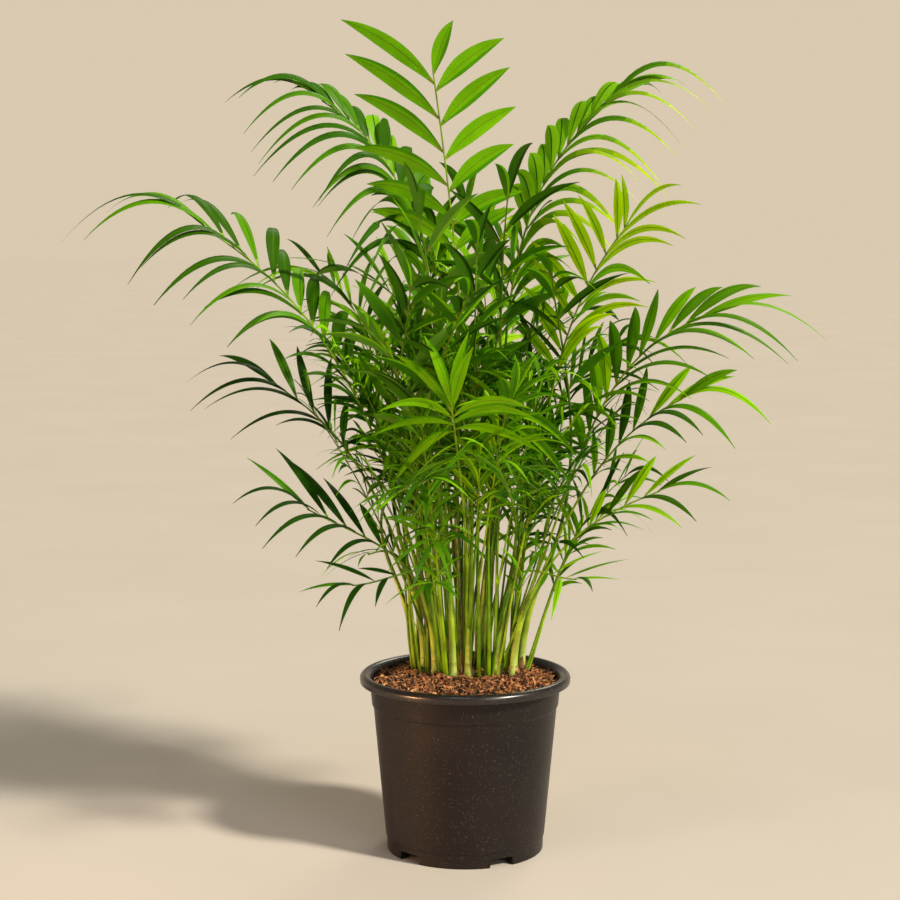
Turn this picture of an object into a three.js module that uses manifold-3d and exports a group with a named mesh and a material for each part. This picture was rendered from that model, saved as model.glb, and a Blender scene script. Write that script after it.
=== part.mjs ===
// A parlor palm in a plastic nursery pot.
// Sizes are in millimetres and angles in degrees. Up is +Z, the front is -Y, and the origin is
// the centre of the pot's flat underside.

import * as THREE from 'three';
import { mergeVertices } from 'three/addons/utils/BufferGeometryUtils.js';
import Module from 'manifold-3d';

const wasm = await Module();
wasm.setup();

// Driving sizes of the pot
const rimRadius = 105;
const potHeight = 178;
const baseRadius = 78;
const wall = 2;
const potSides = 32;

// Heights on the pot's outside
const footHeight = 14;
const footChamfer = 5;
const collarHeight = 33;
const lipHeight = 9.5;
const collarStep = 1.4;
const bodyTaper = 0.092;

// Drainage notches in the foot
const notchCount = 5;
const notchWidth = 25;
const notchHeight = 9;
const notchDepth = 12;
const firstNotch = -63;
const floorHeight = 12;

// Soil
const soilDrop = 4;
const soilEdgeDrop = 11;
const soilShoulder = 66;
const gap = 0.3;

// Canes: the clump's middle, then each foot as [x, y, height above the soil]
const clumpMiddle = new THREE.Vector2(0, 20);
const canes = [
  [-51, 36, 92],
  [-41, 22, 104],
  [-30, 4, 78],
  [-12, -8, 96],
  [3, -7, 70],
  [32, 10, 88],
  [48, 0, 84],
  [57, 30, 100],
  [-25, 44, 84],
  [-6, 56, 100],
  [16, 24, 116],
  [-13, 22, 120],
  [38, 50, 94],
  [18, 54, 76],
];
const caneRadius = 4.4;
const caneFlare = 1.3;
const caneLean = 0.0042;
const caneSides = 7;
const caneRings = 4;
const frondsPerCane = 4;
const crowding = 11;
const clumpHeight = 70;
const clumpReach = 60;

// Ribs: a frond's stalk and midrib are one tapering rod of three sides
const ribRadius = 2.1;
const ribTipRadius = 0.9;
const ribRings = 11;
const ribInset = 1.7;
const rootPull = 0.36;
const tipPull = 0.36;
const bows = [0, 7, -7, 14, -14, 21, -21, 28, -28];
const ribProbeSteps = 200;
const caneProbeSteps = 30;

// Leaflets. The outer fronds carry all of theirs, and the inner ones fewer and wider ones.
const outerSpacing = 22;
const fanSpacing = 9;
const innerSpacing = 28;
const leafWidth = 9;
const leafWidening = 0.05;
const innerWidth = 1.25;
const leafThickness = 0.016;
const leafStalk = { part: 0.07, width: 0.36 };
const leafMiddle = { part: 0.42, width: 1 };
const leafDroop = { part: 0.72, width: 0.72 };
const leafClearance = 0.35;
const leafLift = 0.18;
const tipMargin = 4;
const lowestLeaf = 188;

// How the leaflets stand on a frond. `spread` and `spreadTip` are the angles from the rib of the
// lowest and the last ones, `turnIn` how late they turn in to the tip, and `skew` how much wider
// the standing row spreads. In a leaflet's own lengths, `arch` and `archUp` are the rise of the
// hanging row and of the standing row, and `sag` and `sagTip` how far the tips of the lowest and
// the last ones drop. `baseShare` and `tipShare` are the lengths of those to the longest, and
// `evenTip` how alike the two rows grow towards the tip.
const usualLook = {
  spread: 38, spreadTip: 18, turnIn: 4, skew: 0, arch: 0.4, archUp: 0.3,
  sag: 0.16, sagTip: 0.36, baseShare: 0.55, tipShare: 0.86, evenTip: 0.9,
};
const innerLook = {
  ...usualLook, spread: 48, turnIn: 2.5, arch: 0.16, archUp: 0.16, sag: 0.12, sagTip: 0.36, baseShare: 0.7,
};
const fanLook = {
  ...usualLook, spread: 108, spreadTip: 14, turnIn: 0.9, arch: 0.2, archUp: 0.2, sag: 0.8,
  sagTip: 0, baseShare: 0.85, tipShare: 0.74,
};

// Leaf colours
const tones = {
  lime: 0x9ab82c,
  yellow: 0x87a030,
  fresh: 0x5d8a2a,
  blue: 0x4c7d46,
  dark: 0x2f5a20,
};

// The fronds that give the plant its outline. `tip` is the end of the midrib, `rise` its slope
// there and `roll` the turn of its face about the midrib. `leaf` is the length of its longest
// leaflet, `upper` the part of that length on the row that is turned up, and `bare` the part of
// the rod that is stalk.
const outerFronds = [
  {
    name: 'left_long', tone: 'fresh', tip: [-274, -60, 614], rise: 32, roll: -42,
    leaf: 146, upper: 0.5, bare: 0.4, spread: 46, archUp: 0.7, sag: 0.12, sagTip: 0.46,
  },
  {
    name: 'left_high', tone: 'blue', tip: [-143, 20, 716], rise: 40, roll: -48,
    leaf: 142, upper: 0.5, bare: 0.48, skew: -6, archUp: 0.4, sag: 0.5, sagTip: 0.26,
  },
  {
    name: 'top_front', tone: 'lime', tip: [-31, -80, 762], rise: 72, roll: 8,
    leaf: 114, upper: 0.74, bare: 0.68, spread: 58, spreadTip: 8, turnIn: 14, arch: 0.16,
    archUp: 0.16, sag: 0.1, sagTip: 0, baseShare: 0.9, tipShare: 0.52, evenTip: 0,
  },
  {
    name: 'right_high', tone: 'blue', tip: [160, 40, 736], rise: 38, roll: 46,
    leaf: 170, upper: 0.42, bare: 0.5, spread: 34, skew: -4, archUp: 0.4, sag: 0.6, sagTip: 0.46,
  },
  {
    name: 'right_lime', tone: 'lime', tip: [162, -70, 622], rise: 52, roll: 70,
    leaf: 136, upper: 0.62, bare: 0.56, spread: 58, skew: 16, arch: 0.24, archUp: 0.04,
    sag: 0.14, sagTip: 0.1, baseShare: 0.7, tipShare: 0.8,
  },
  {
    name: 'right_arching', tone: 'yellow', tip: [246, -30, 520], rise: 2, roll: 48,
    leaf: 132, upper: 0.56, bare: 0.42, sag: 0.22, sagTip: 0.26,
  },
  {
    name: 'right_low', tone: 'fresh', tip: [211, -60, 448], rise: 24, roll: 52,
    leaf: 118, upper: 0.74, bare: 0.46, archUp: 0.14, sagTip: 0.3,
  },
  {
    name: 'right_lower', tone: 'fresh', tip: [210, -40, 360], rise: 20, roll: 40,
    leaf: 118, upper: 0.66, bare: 0.44, sagTip: 0.3, tipShare: 0.76,
  },
  {
    name: 'right_small', tone: 'fresh', tip: [114, -70, 275], rise: 10, roll: 25,
    leaf: 72, upper: 1, bare: 0.62, spread: 50, sag: 0.1, sagTip: 0.4,
  },
  {
    name: 'left_dark', tone: 'dark', tip: [-186, 50, 449], rise: 34, roll: -46,
    leaf: 128, upper: 0.8, bare: 0.46, spread: 42, sag: 0.24, sagTip: 0.4,
  },
  {
    name: 'left_low', tone: 'dark', tip: [-156, -30, 356], rise: 24, roll: -42,
    leaf: 112, upper: 1, bare: 0.44, spread: 40, sag: 0.24, sagTip: 0.3,
  },
  {
    name: 'left_small', tone: 'dark', tip: [-109, -70, 278], rise: 5, roll: -25,
    leaf: 66, upper: 1, bare: 0.62, spread: 46, sag: 0.1, sagTip: 0.3,
  },
  {
    name: 'front_small', tone: 'blue', tip: [-34, -95, 283], rise: 5, roll: 0,
    leaf: 48, upper: 1, bare: 0.74, spread: 60, arch: 0.2, archUp: 0.2, sag: 0.3, sagTip: 0.5,
  },
  {
    ...fanLook, name: 'front_young', tone: 'lime', tip: [-14, -130, 458], rise: 50, roll: 0,
    leaf: 96, upper: 1, bare: 0.86,
  },
  {
    ...fanLook, name: 'front_right', tone: 'fresh', tip: [42, -120, 462], rise: 45, roll: 0,
    leaf: 92, upper: 1, bare: 0.84,
  },
];

// Tiers of fronds that fill the crown all round. `reach` is how far the midribs' ends stand from
// the clump's middle, first to the sides and then to the front and back.
const tiers = [
  {
    name: 'top', count: 8, start: 35, reach: [66, 165], height: 628,
    rise: 54, leaf: 92, bare: 0.56,
  },
  {
    name: 'upper', count: 9, start: 80, reach: [105, 245], height: 548,
    rise: 28, leaf: 96, bare: 0.5,
  },
  {
    name: 'lower', count: 8, start: 10, reach: [112, 215], height: 415,
    rise: 14, leaf: 84, bare: 0.5,
  },
  {
    name: 'bottom', count: 4, start: 60, reach: [92, 145], height: 300,
    rise: 0, leaf: 62, bare: 0.56,
  },
];
const tierTones = ['fresh', 'dark', 'fresh', 'blue', 'dark'];
const goldenAngle = 137.508;
const tierReachSpread = 0.1;
const tierHeightSpread = 26;
const tierRollSpread = 26;

const up = new THREE.Vector3(0, 0, 1);

function radians(degrees) {
  return THREE.MathUtils.degToRad(degrees);
}

function mix(start, end, part) {
  return start + (end - start) * part;
}

// A steady wobble between -1 and 1, the same for the same count
function wobble(count, salt) {
  return Math.sin(count * 12.9898 + salt * 4.1414);
}

// A closed, joined mesh with its faces outward
function toSolid(geometry) {
  const plain = geometry.clone();
  plain.deleteAttribute('normal');
  plain.deleteAttribute('uv');
  const merged = mergeVertices(plain, 1e-4);
  const position = merged.attributes.position;
  const corners = [new THREE.Vector3(), new THREE.Vector3(), new THREE.Vector3()];
  const faces = [];
  let volume = 0;
  for (let face = 0; face < merged.index.count; face += 3) {
    const [a, b, c] = [0, 1, 2].map((corner) => merged.index.getX(face + corner));
    if (a === b || b === c || c === a) {
      continue;
    }
    corners[0].fromBufferAttribute(position, a);
    corners[1].fromBufferAttribute(position, b);
    corners[2].fromBufferAttribute(position, c);
    volume += corners[0].dot(corners[1].cross(corners[2]));
    faces.push([a, b, c]);
  }
  const outward = volume > 0 ? faces : faces.map(([a, b, c]) => [a, c, b]);
  return new wasm.Manifold(new wasm.Mesh({
    numProp: 3,
    vertProperties: Float32Array.from(position.array),
    triVerts: Uint32Array.from(outward.flat()),
  }));
}

function toMesh(name, solid, colour, roughness) {
  const mesh = solid.getMesh();
  const geometry = new THREE.BufferGeometry();
  geometry.setAttribute('position', new THREE.BufferAttribute(mesh.vertProperties, 3));
  geometry.setIndex(new THREE.BufferAttribute(mesh.triVerts, 1));
  geometry.computeVertexNormals();
  const material = new THREE.MeshStandardMaterial({
    color: colour,
    roughness,
    metalness: 0,
    flatShading: true,
  });
  const node = new THREE.Mesh(geometry, material);
  node.name = name;
  return node;
}

// A solid turned about the Z axis from [radius, height] pairs
function turned(profile, sides) {
  const points = profile.map(([radius, height]) => new THREE.Vector2(radius, height));
  return toSolid(new THREE.LatheGeometry(points, sides).rotateX(Math.PI / 2));
}

// A solid pulled through rings. Each ring has a centre and two half axes, and the solid closes on
// the centres of the first and the last. The first corner lies on the ring's `rise` half axis.
function pulled(rings, sides) {
  const closed = (ring) => ring.across.lengthSq() === 0;
  const first = closed(rings[0]) ? [] : [rings[0]];
  const final = closed(rings[rings.length - 1]) ? [] : [rings[rings.length - 1]];
  const stations = [...first, ...rings, ...final];
  const last = stations.length - 1;
  const blank = stations.map((ring, row) => new THREE.Vector2(row === 0 || row === last ? 0 : 1, row));
  const geometry = new THREE.LatheGeometry(blank, sides);
  const position = geometry.attributes.position;
  for (let corner = 0; corner < position.count; corner += 1) {
    const row = corner % stations.length;
    const turn = 2 * Math.PI * Math.floor(corner / stations.length) / sides;
    const ring = stations[row];
    const size = row === 0 || row === last ? 0 : 1;
    const spot = ring.centre.clone()
      .addScaledVector(ring.across, size * Math.sin(turn))
      .addScaledVector(ring.rise, size * Math.cos(turn));
    position.setXYZ(corner, spot.x, spot.y, spot.z);
  }
  return toSolid(geometry);
}

// The pot, with its rolled lip, collar, tapering wall and notched foot
function makePot() {
  const shoulder = potHeight - collarHeight;
  const bodyFoot = footHeight + footChamfer;
  const bodyTop = baseRadius + 1.8 + bodyTaper * (shoulder - bodyFoot);
  const collarTop = bodyTop + collarStep + 2.2;
  const lipFoot = potHeight - lipHeight;
  const outside = [
    [0, 0],
    [baseRadius, 0],
    [baseRadius + 0.3, footHeight],
    [baseRadius + 1.8, bodyFoot],
    [bodyTop, shoulder],
    [bodyTop + collarStep, shoulder + 1],
    [collarTop, lipFoot],
    [rimRadius - 1, lipFoot],
    [rimRadius, lipFoot + 3],
    [rimRadius - 0.8, potHeight - 2],
    [rimRadius - 3, potHeight],
  ];
  const inside = [
    [collarTop + 2, potHeight],
    [collarTop - wall, potHeight - 4],
    [collarTop - wall, lipFoot],
    [bodyTop - wall, shoulder],
    [baseRadius - 0.2, bodyFoot],
    [baseRadius - 1, floorHeight],
    [0, floorHeight],
  ];
  let pot = turned([...outside, ...inside], potSides);
  for (let notch = 0; notch < notchCount; notch += 1) {
    const box = new THREE.BoxGeometry(2 * notchDepth, notchWidth, 2 * notchHeight);
    box.translate(baseRadius, 0, 0);
    box.rotateZ(radians(firstNotch + notch * 360 / notchCount));
    pot = pot.subtract(toSolid(box));
  }
  return { pot, bodyTop, collarTop, shoulder, bodyFoot, lipFoot };
}

// The soil fills the pot and mounds up to a level shoulder round the canes
function makeSoil(sizes) {
  const profile = [
    [0, floorHeight + gap],
    [baseRadius - 1 - gap, floorHeight + gap],
    [baseRadius - 0.2 - gap, sizes.bodyFoot + gap],
    [sizes.bodyTop - wall - gap, sizes.shoulder],
    [sizes.collarTop - wall - gap, potHeight - soilEdgeDrop],
    [soilShoulder, potHeight - soilDrop],
    [0, potHeight - soilDrop],
  ];
  return turned(profile, potSides);
}

// A cane's axis rises straight from the soil and leans away from the clump's middle
function caneCurve([x, y, height]) {
  const foot = new THREE.Vector3(x, y, potHeight - soilDrop + gap);
  const lean = new THREE.Vector3(x - clumpMiddle.x, y - clumpMiddle.y, 0).multiplyScalar(caneLean * height);
  const bend = foot.clone().addScaledVector(up, height / 2);
  const top = foot.clone().addScaledVector(up, height).add(lean);
  return new THREE.QuadraticBezierCurve3(foot, bend, top);
}

// Two half axes square to a direction, the first one level
function squareTo(ahead, level) {
  const across = level.clone().addScaledVector(ahead, -level.dot(ahead)).normalize();
  const face = ahead.clone().cross(across);
  return { across, face };
}

// A point on a rod's axis, which runs straight from ring to ring of its curve
function axisPoint(curve, rings, part) {
  const steps = rings - 1;
  const step = Math.min(steps - 1, Math.floor(part * steps));
  const start = curve.getPoint(step / steps);
  const end = curve.getPoint((step + 1) / steps);
  return start.lerp(end, part * steps - step);
}

function makeCane(cane) {
  const curve = caneCurve(cane);
  const rings = [];
  for (let ring = 0; ring < caneRings; ring += 1) {
    const part = ring / (caneRings - 1);
    const ahead = curve.getTangent(part);
    const { across, face } = squareTo(ahead, new THREE.Vector3(1, 0, 0));
    const radius = caneRadius * (ring === 0 ? caneFlare : mix(1.12, 1, part));
    rings.push({
      centre: curve.getPoint(part),
      across: across.multiplyScalar(radius),
      rise: face.multiplyScalar(radius),
    });
  }
  return pulled(rings, caneSides);
}

// Every frond as a plain list: the outer ones first, then the tiers by the golden angle
function listFronds() {
  const fronds = outerFronds.map((frond) => ({
    ...usualLook,
    ...frond,
    tip: new THREE.Vector3(...frond.tip),
    spacing: frond.bare > 0.8 ? fanSpacing : outerSpacing,
    width: 1,
    stations: [leafStalk, leafMiddle, leafDroop],
  }));
  let count = 0;
  for (const tier of tiers) {
    for (let number = 1; number <= tier.count; number += 1) {
      const bearing = radians(tier.start + number * goldenAngle);
      const reach = 1 + tierReachSpread * wobble(count, 1);
      const tip = new THREE.Vector3(
        clumpMiddle.x + tier.reach[0] * reach * Math.cos(bearing),
        clumpMiddle.y + tier.reach[1] * reach * Math.sin(bearing),
        tier.height + tierHeightSpread * wobble(count, 2),
      );
      fronds.push({
        ...innerLook,
        name: `${tier.name}_${number}`,
        tip,
        rise: tier.rise + 8 * wobble(count, 3),
        roll: tierRollSpread * wobble(count, 4),
        leaf: tier.leaf * (1 + 0.08 * wobble(count, 5)),
        sagTip: innerLook.sagTip + 0.2 * wobble(count, 6),
        upper: 1,
        bare: tier.bare,
        spacing: innerSpacing,
        width: innerWidth,
        stations: [leafStalk, leafMiddle],
        tone: tierTones[count % tierTones.length],
      });
      count += 1;
    }
  }
  return fronds;
}

// How far a line from one point to another leans out, to the sides and to the front or back
function leanOf(start, end) {
  const line = end.clone().sub(start).normalize();
  return new THREE.Vector2(line.x, line.y);
}

// Each frond takes the free cane nearest to where its lean points: the low ones stand outermost
function seatFronds(fronds) {
  const load = canes.map(() => []);
  const middle = new THREE.Vector3(clumpMiddle.x, clumpMiddle.y, potHeight + clumpHeight);
  for (const frond of fronds) {
    const aim = leanOf(middle, frond.tip).multiplyScalar(clumpReach).add(clumpMiddle);
    let best = -1;
    let bestDistance = Infinity;
    canes.forEach(([x, y], cane) => {
      const distance = aim.distanceTo(new THREE.Vector2(x, y)) + crowding * load[cane].length;
      if (load[cane].length < frondsPerCane && distance < bestDistance) {
        best = cane;
        bestDistance = distance;
      }
    });
    load[best].push(frond);
  }
  return load;
}

// The stalks on one cane stand side by side on its top, each on the side that it bends away to
function rootFronds(cane, fronds) {
  const curve = caneCurve(cane);
  const ahead = curve.getTangent(1);
  const { across, face } = squareTo(ahead, new THREE.Vector3(1, 0, 0));
  const middle = curve.getPoint(1).addScaledVector(ahead, gap);
  const leans = fronds.map((frond) => leanOf(middle, frond.tip));
  const mean = leans.reduce((sum, lean) => sum.add(lean), new THREE.Vector2()).divideScalar(fronds.length);
  const sideOf = (frond) => leanOf(middle, frond.tip).sub(mean).angle();
  const inOrder = [...fronds].sort((one, other) => sideOf(one) - sideOf(other));
  const share = 2 * Math.PI / fronds.length;
  const eastward = inOrder.reduce((sum, frond, slot) => sum + Math.cos(sideOf(frond) - slot * share), 0);
  const northward = inOrder.reduce((sum, frond, slot) => sum + Math.sin(sideOf(frond) - slot * share), 0);
  const start = Math.atan2(northward, eastward);
  const ringRadius = fronds.length > 1 ? caneRadius - ribInset : 0;
  const room = ringRadius * Math.sin(Math.PI / fronds.length) - gap / 2;
  inOrder.forEach((frond, slot) => {
    const turn = start + slot * share;
    frond.root = middle.clone()
      .addScaledVector(across, ringRadius * Math.cos(turn))
      .addScaledVector(face, ringRadius * Math.sin(turn));
    frond.ahead = ahead;
    frond.radius = fronds.length > 1 ? Math.min(ribRadius, room) : ribRadius;
  });
}

// A frond's axis, bowed aside by some millimetres
function bendFrond(frond, bow) {
  const reach = frond.tip.distanceTo(frond.root);
  const out = frond.tip.clone().sub(frond.root).setZ(0).normalize();
  const ending = out.clone().multiplyScalar(Math.cos(radians(frond.rise)))
    .addScaledVector(up, Math.sin(radians(frond.rise)));
  frond.level = up.clone().cross(out);
  frond.curve = new THREE.CubicBezierCurve3(
    frond.root,
    frond.root.clone().addScaledVector(frond.ahead, rootPull * reach),
    frond.tip.clone().addScaledVector(ending, -tipPull * reach).addScaledVector(frond.level, bow),
    frond.tip,
  );
}

// Points along an axis, each with the rod's radius there
function probe(curve, rings, steps, startRadius, endRadius) {
  const points = [];
  for (let step = 0; step <= steps; step += 1) {
    const part = step / steps;
    points.push({ spot: axisPoint(curve, rings, part), radius: mix(startRadius, endRadius, part) });
  }
  return points;
}

function probesMeet(some, others) {
  return some.some((one) => others.some((other) => {
    const room = one.radius + other.radius + 0.6 * gap;
    return one.spot.distanceToSquared(other.spot) < room * room;
  }));
}

// Each frond is bowed a little further to one side or the other until its rod is clear of the
// canes and of the rods before it
function clearFronds(fronds, seats) {
  const caneProbes = canes.map((cane) => {
    const curve = caneCurve(cane);
    return probe(curve, caneRings, caneProbeSteps, caneRadius * caneFlare, caneRadius);
  });
  const before = [];
  for (const frond of fronds) {
    const otherCanes = caneProbes.filter((_, cane) => !seats[cane].includes(frond));
    let points = [];
    for (const bow of bows) {
      bendFrond(frond, bow);
      points = probe(frond.curve, ribRings, ribProbeSteps, frond.radius, ribTipRadius);
      if (![...otherCanes, ...before].some((others) => probesMeet(points, others))) {
        break;
      }
    }
    before.push(points);
  }
}

// The rod's direction and its two side directions, turned by the frond's roll
function frameAt(frond, part) {
  const centre = axisPoint(frond.curve, ribRings, part);
  const ahead = frond.curve.getTangent(part);
  const { across, face } = squareTo(ahead, frond.level);
  const roll = radians(frond.roll) * THREE.MathUtils.smoothstep(part, 0, frond.bare);
  const turnedAcross = across.clone().multiplyScalar(Math.cos(roll)).addScaledVector(face, Math.sin(roll));
  const turnedFace = face.clone().multiplyScalar(Math.cos(roll)).addScaledVector(across, -Math.sin(roll));
  return { centre, ahead, across: turnedAcross, face: turnedFace };
}

function makeRib(frond) {
  const rings = [];
  for (let ring = 0; ring < ribRings; ring += 1) {
    const part = ring / (ribRings - 1);
    const { centre, across, face } = frameAt(frond, part);
    const radius = mix(frond.radius, ribTipRadius, part);
    rings.push({
      centre,
      across: across.multiplyScalar(radius),
      rise: face.multiplyScalar(radius),
    });
  }
  return pulled(rings, 3);
}

// One leaflet: `along` runs from 0 at the lowest leaflet to 1 at the rib's tip, `side` is 1 or -1,
// and `extra` fattens it all round. Its root is sunk to the rib's axis.
function makeLeaflet(frond, along, side, scale, extra) {
  const lastPart = 1 - tipMargin / frond.length;
  const { centre, ahead, across, face } = frameAt(frond, mix(frond.bare, lastPart, along));
  const sway = Math.sin(frond.phase + 17 * along + 2 * side);
  const standing = side * across.z > 0.2;
  const turnedIn = along ** frond.turnIn;
  const nearing = THREE.MathUtils.smoothstep(along, 0.5, 1) * frond.evenTip;
  const row = side * across.z > 0 ? mix(frond.upper, 1, nearing) : 1;
  const share = mix(frond.baseShare, 1, THREE.MathUtils.smoothstep(along, -0.1, 0.45))
    * mix(1, frond.tipShare, turnedIn);
  const length = scale * row * frond.leaf * share * (1 + 0.08 * sway);
  const breadth = frond.width * (leafWidth + leafWidening * length);
  const thickness = leafThickness * length;
  const widest = frond.spread + (standing ? frond.skew : -frond.skew);
  const spread = radians(mix(widest, frond.spreadTip, turnedIn) + 5 * sway);
  const direction = ahead.clone().multiplyScalar(Math.cos(spread))
    .addScaledVector(across, side * Math.sin(spread))
    .addScaledVector(face, leafLift)
    .normalize();
  const margin = face.clone().cross(direction).normalize();
  const arch = (standing ? frond.archUp * (1 - 0.8 * along ** 2) : frond.arch) * length;
  const sag = (mix(frond.sag, frond.sagTip, along) + 0.04 * sway) * length;
  const stations = [{ part: 0, width: 0 }, ...frond.stations, { part: 1, width: 0 }];
  const rings = stations.map(({ part, width }) => {
    const size = width > 0 ? 1 : 0;
    return {
      centre: centre.clone()
        .addScaledVector(direction, length * part)
        .addScaledVector(up, arch * part - (sag + arch) * part * part),
      across: margin.clone().multiplyScalar(size * (width * breadth / 2 + extra) / 0.866),
      rise: direction.clone().cross(margin).multiplyScalar(size * (thickness / 1.5 + extra)),
    };
  });
  return pulled(rings, 3);
}

function boxOf(solid) {
  const { min, max } = solid.boundingBox();
  return new THREE.Box3(new THREE.Vector3(...min), new THREE.Vector3(...max));
}

function touches(candidate, frond, placed) {
  const box = boxOf(candidate);
  for (const other of placed) {
    if (other.frond === frond || !other.box.intersectsBox(box)) {
      continue;
    }
    const shared = candidate.intersect(other.solid);
    const clear = shared.isEmpty();
    shared.delete();
    if (!clear) {
      return true;
    }
  }
  return false;
}

// Leaflets go on in pairs. One that would touch another frond is shortened, then left out.
function makeFrond(frond, placed) {
  let solid = frond.rib;
  const pairs = Math.max(3, Math.round(frond.length * (1 - frond.bare) / frond.spacing));
  for (let pair = 0; pair < pairs; pair += 1) {
    for (const side of [-1, 1]) {
      const along = Math.min(1, (pair + (side > 0 ? 0.35 : 0)) / (pairs - 1));
      for (const scale of [1, 0.8, 0.6]) {
        const fat = makeLeaflet(frond, along, side, scale, leafClearance);
        const tooLow = fat.boundingBox().min[2] < lowestLeaf;
        if (!tooLow && !touches(fat, frond, placed)) {
          const leaflet = makeLeaflet(frond, along, side, scale, 0);
          placed.push({ frond, solid: leaflet, box: boxOf(leaflet) });
          solid = solid.add(leaflet);
          break;
        }
      }
    }
  }
  return solid;
}

const group = new THREE.Group();
group.name = 'parlor_palm';

const { pot, ...potSizes } = makePot();
group.add(toMesh('pot', pot, 0x2b2624, 0.38));
group.add(toMesh('soil', makeSoil(potSizes), 0x7a4a28, 0.95));

const placed = [];
canes.forEach((cane, number) => {
  const solid = makeCane(cane);
  placed.push({ frond: null, solid, box: boxOf(solid) });
  group.add(toMesh(`cane_${number + 1}`, solid, 0x7f9a3a, 0.5));
});

const fronds = listFronds();
const seats = seatFronds(fronds);
seats.forEach((load, cane) => rootFronds(canes[cane], load));
clearFronds(fronds, seats);
fronds.forEach((frond, number) => {
  frond.phase = number;
  frond.length = frond.curve.getLength();
  frond.rib = makeRib(frond);
  placed.push({ frond, solid: frond.rib, box: boxOf(frond.rib) });
});
for (const frond of fronds) {
  group.add(toMesh(`frond_${frond.name}`, makeFrond(frond, placed), tones[frond.tone], 0.5));
}

export default group;
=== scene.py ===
import math
from dataclasses import dataclass
from itertools import combinations
from types import SimpleNamespace

import bpy
import numpy as np
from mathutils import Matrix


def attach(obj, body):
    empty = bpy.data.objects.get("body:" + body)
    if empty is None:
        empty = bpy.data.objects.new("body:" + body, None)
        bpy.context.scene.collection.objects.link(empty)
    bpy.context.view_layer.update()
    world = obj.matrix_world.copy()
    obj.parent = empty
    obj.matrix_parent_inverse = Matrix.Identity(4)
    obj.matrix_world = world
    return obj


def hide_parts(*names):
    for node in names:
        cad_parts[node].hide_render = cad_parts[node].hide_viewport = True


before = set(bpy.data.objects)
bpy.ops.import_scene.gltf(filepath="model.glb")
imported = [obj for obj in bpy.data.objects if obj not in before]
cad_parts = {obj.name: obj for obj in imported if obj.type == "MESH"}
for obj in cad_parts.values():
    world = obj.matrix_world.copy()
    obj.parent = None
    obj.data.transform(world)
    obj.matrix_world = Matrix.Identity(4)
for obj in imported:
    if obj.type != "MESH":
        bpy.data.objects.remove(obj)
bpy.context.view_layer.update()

# A parlor palm in a plastic nursery pot.
# Sizes are in millimetres and angles in degrees until a mesh is made, which is in metres. Up is
# +Z, the front is -Y, and the origin is the centre of the pot's flat underside.

METRE = 0.001
SEED = 11
# The least room between two solids
GAP = 0.3

# Camera: where it stands, how far it looks down, and its lens on a 36 mm sensor
CAMERA_SPOT = (-15.1, -2001.8, 628.5)
CAMERA_PITCH = 6.5
CAMERA_LENS = 81.87

# Pot
RIM_RADIUS = 105
POT_HEIGHT = 178
BASE_RADIUS = 78
WALL = 2
FOOT_HEIGHT = 14
FOOT_CHAMFER = 5
FOOT_STEP = 1.8
FOOT_RING = 9
UNDERSIDE_RISE = 5
COLLAR_HEIGHT = 33
COLLAR_STEP = 1.4
COLLAR_FLARE = 2.2
LIP_HEIGHT = 9.5
BODY_TAPER = 0.092
NOTCH_COUNT = 5
NOTCH_WIDTH = 25
NOTCH_HEIGHT = 9
NOTCH_DEPTH = 12
NOTCH_CORNER = 2.5
FIRST_NOTCH = -63
FLOOR_HEIGHT = 12
AXIS_RADIUS = 0.4
POT_SIDES = 240
POT_SHARP_ANGLE = 28
SHOULDER = POT_HEIGHT - COLLAR_HEIGHT
BODY_FOOT = FOOT_HEIGHT + FOOT_CHAMFER
BODY_TOP = BASE_RADIUS + FOOT_STEP + BODY_TAPER * (SHOULDER - BODY_FOOT)
COLLAR_TOP = BODY_TOP + COLLAR_STEP + COLLAR_FLARE
LIP_FOOT = POT_HEIGHT - LIP_HEIGHT

# Soil
SOIL_DROP = 4
SOIL_EDGE_DROP = 11
SOIL_SHOULDER = 66
SOIL_REACH = COLLAR_TOP - WALL - GAP
SOIL_RINGS = 60
SOIL_SIDES = 150
BED_DEPTH = 1.2
BED_ROUGHNESS = 0.5
# Crumbs: how many, and from least to most their sizes, how jittered they are and how high they lie
CRUMBS = 1500
CRUMB_SIZES = (0.9, 2.6)
JITTER = (0.7, 1.25)
CRUMB_HEIGHTS = (-1.6, 0.5)
# Strips on the soil: how many, their lengths and widths from least to most, the steps along one, how
# far one may curl in radians, and the least and the most height of its middle over the soil
FLAKES = (2100, (5, 12), (1.0, 3.4), 7, 4.8, (-2.0, 3.0))
THREADS = (900, (8, 17), (0.5, 1.0), 9, 5.4, (-0.4, 3.6))
STRIP_THICKNESS = 0.28

# Canes: the clump's middle, then each foot as (x, y, height above the soil)
CLUMP_MIDDLE = np.array([0.0, 20.0])
CANES = [
    (-51, 36, 92), (-41, 22, 104), (-30, 4, 78), (-12, -8, 96), (3, -7, 70), (32, 10, 88),
    (48, 0, 84), (57, 30, 100), (-25, 44, 84), (-6, 56, 100), (16, 24, 116), (-13, 22, 120),
    (38, 50, 94), (18, 54, 76),
]
CANE_RADIUS = 4.4
CANE_FLARE = 1.3
CANE_LEAN = 0.0042
CANE_RINGS = 4
CANE_SIDES = 22
CANE_STEP = 1.1
# Shares of the radius at a shown cane's foot and top, what its swollen foot adds, and up to where
CANE_SHARES = (0.88, 0.44)
FOOT_SWELLING = 0.22
SWOLLEN_PART = 0.12
NODE_SPACING = 24
SCAR_HALF_WIDTH = 0.6
SCARS_BELOW = 24
BLOOM_HEIGHTS = (172, 215)
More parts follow.
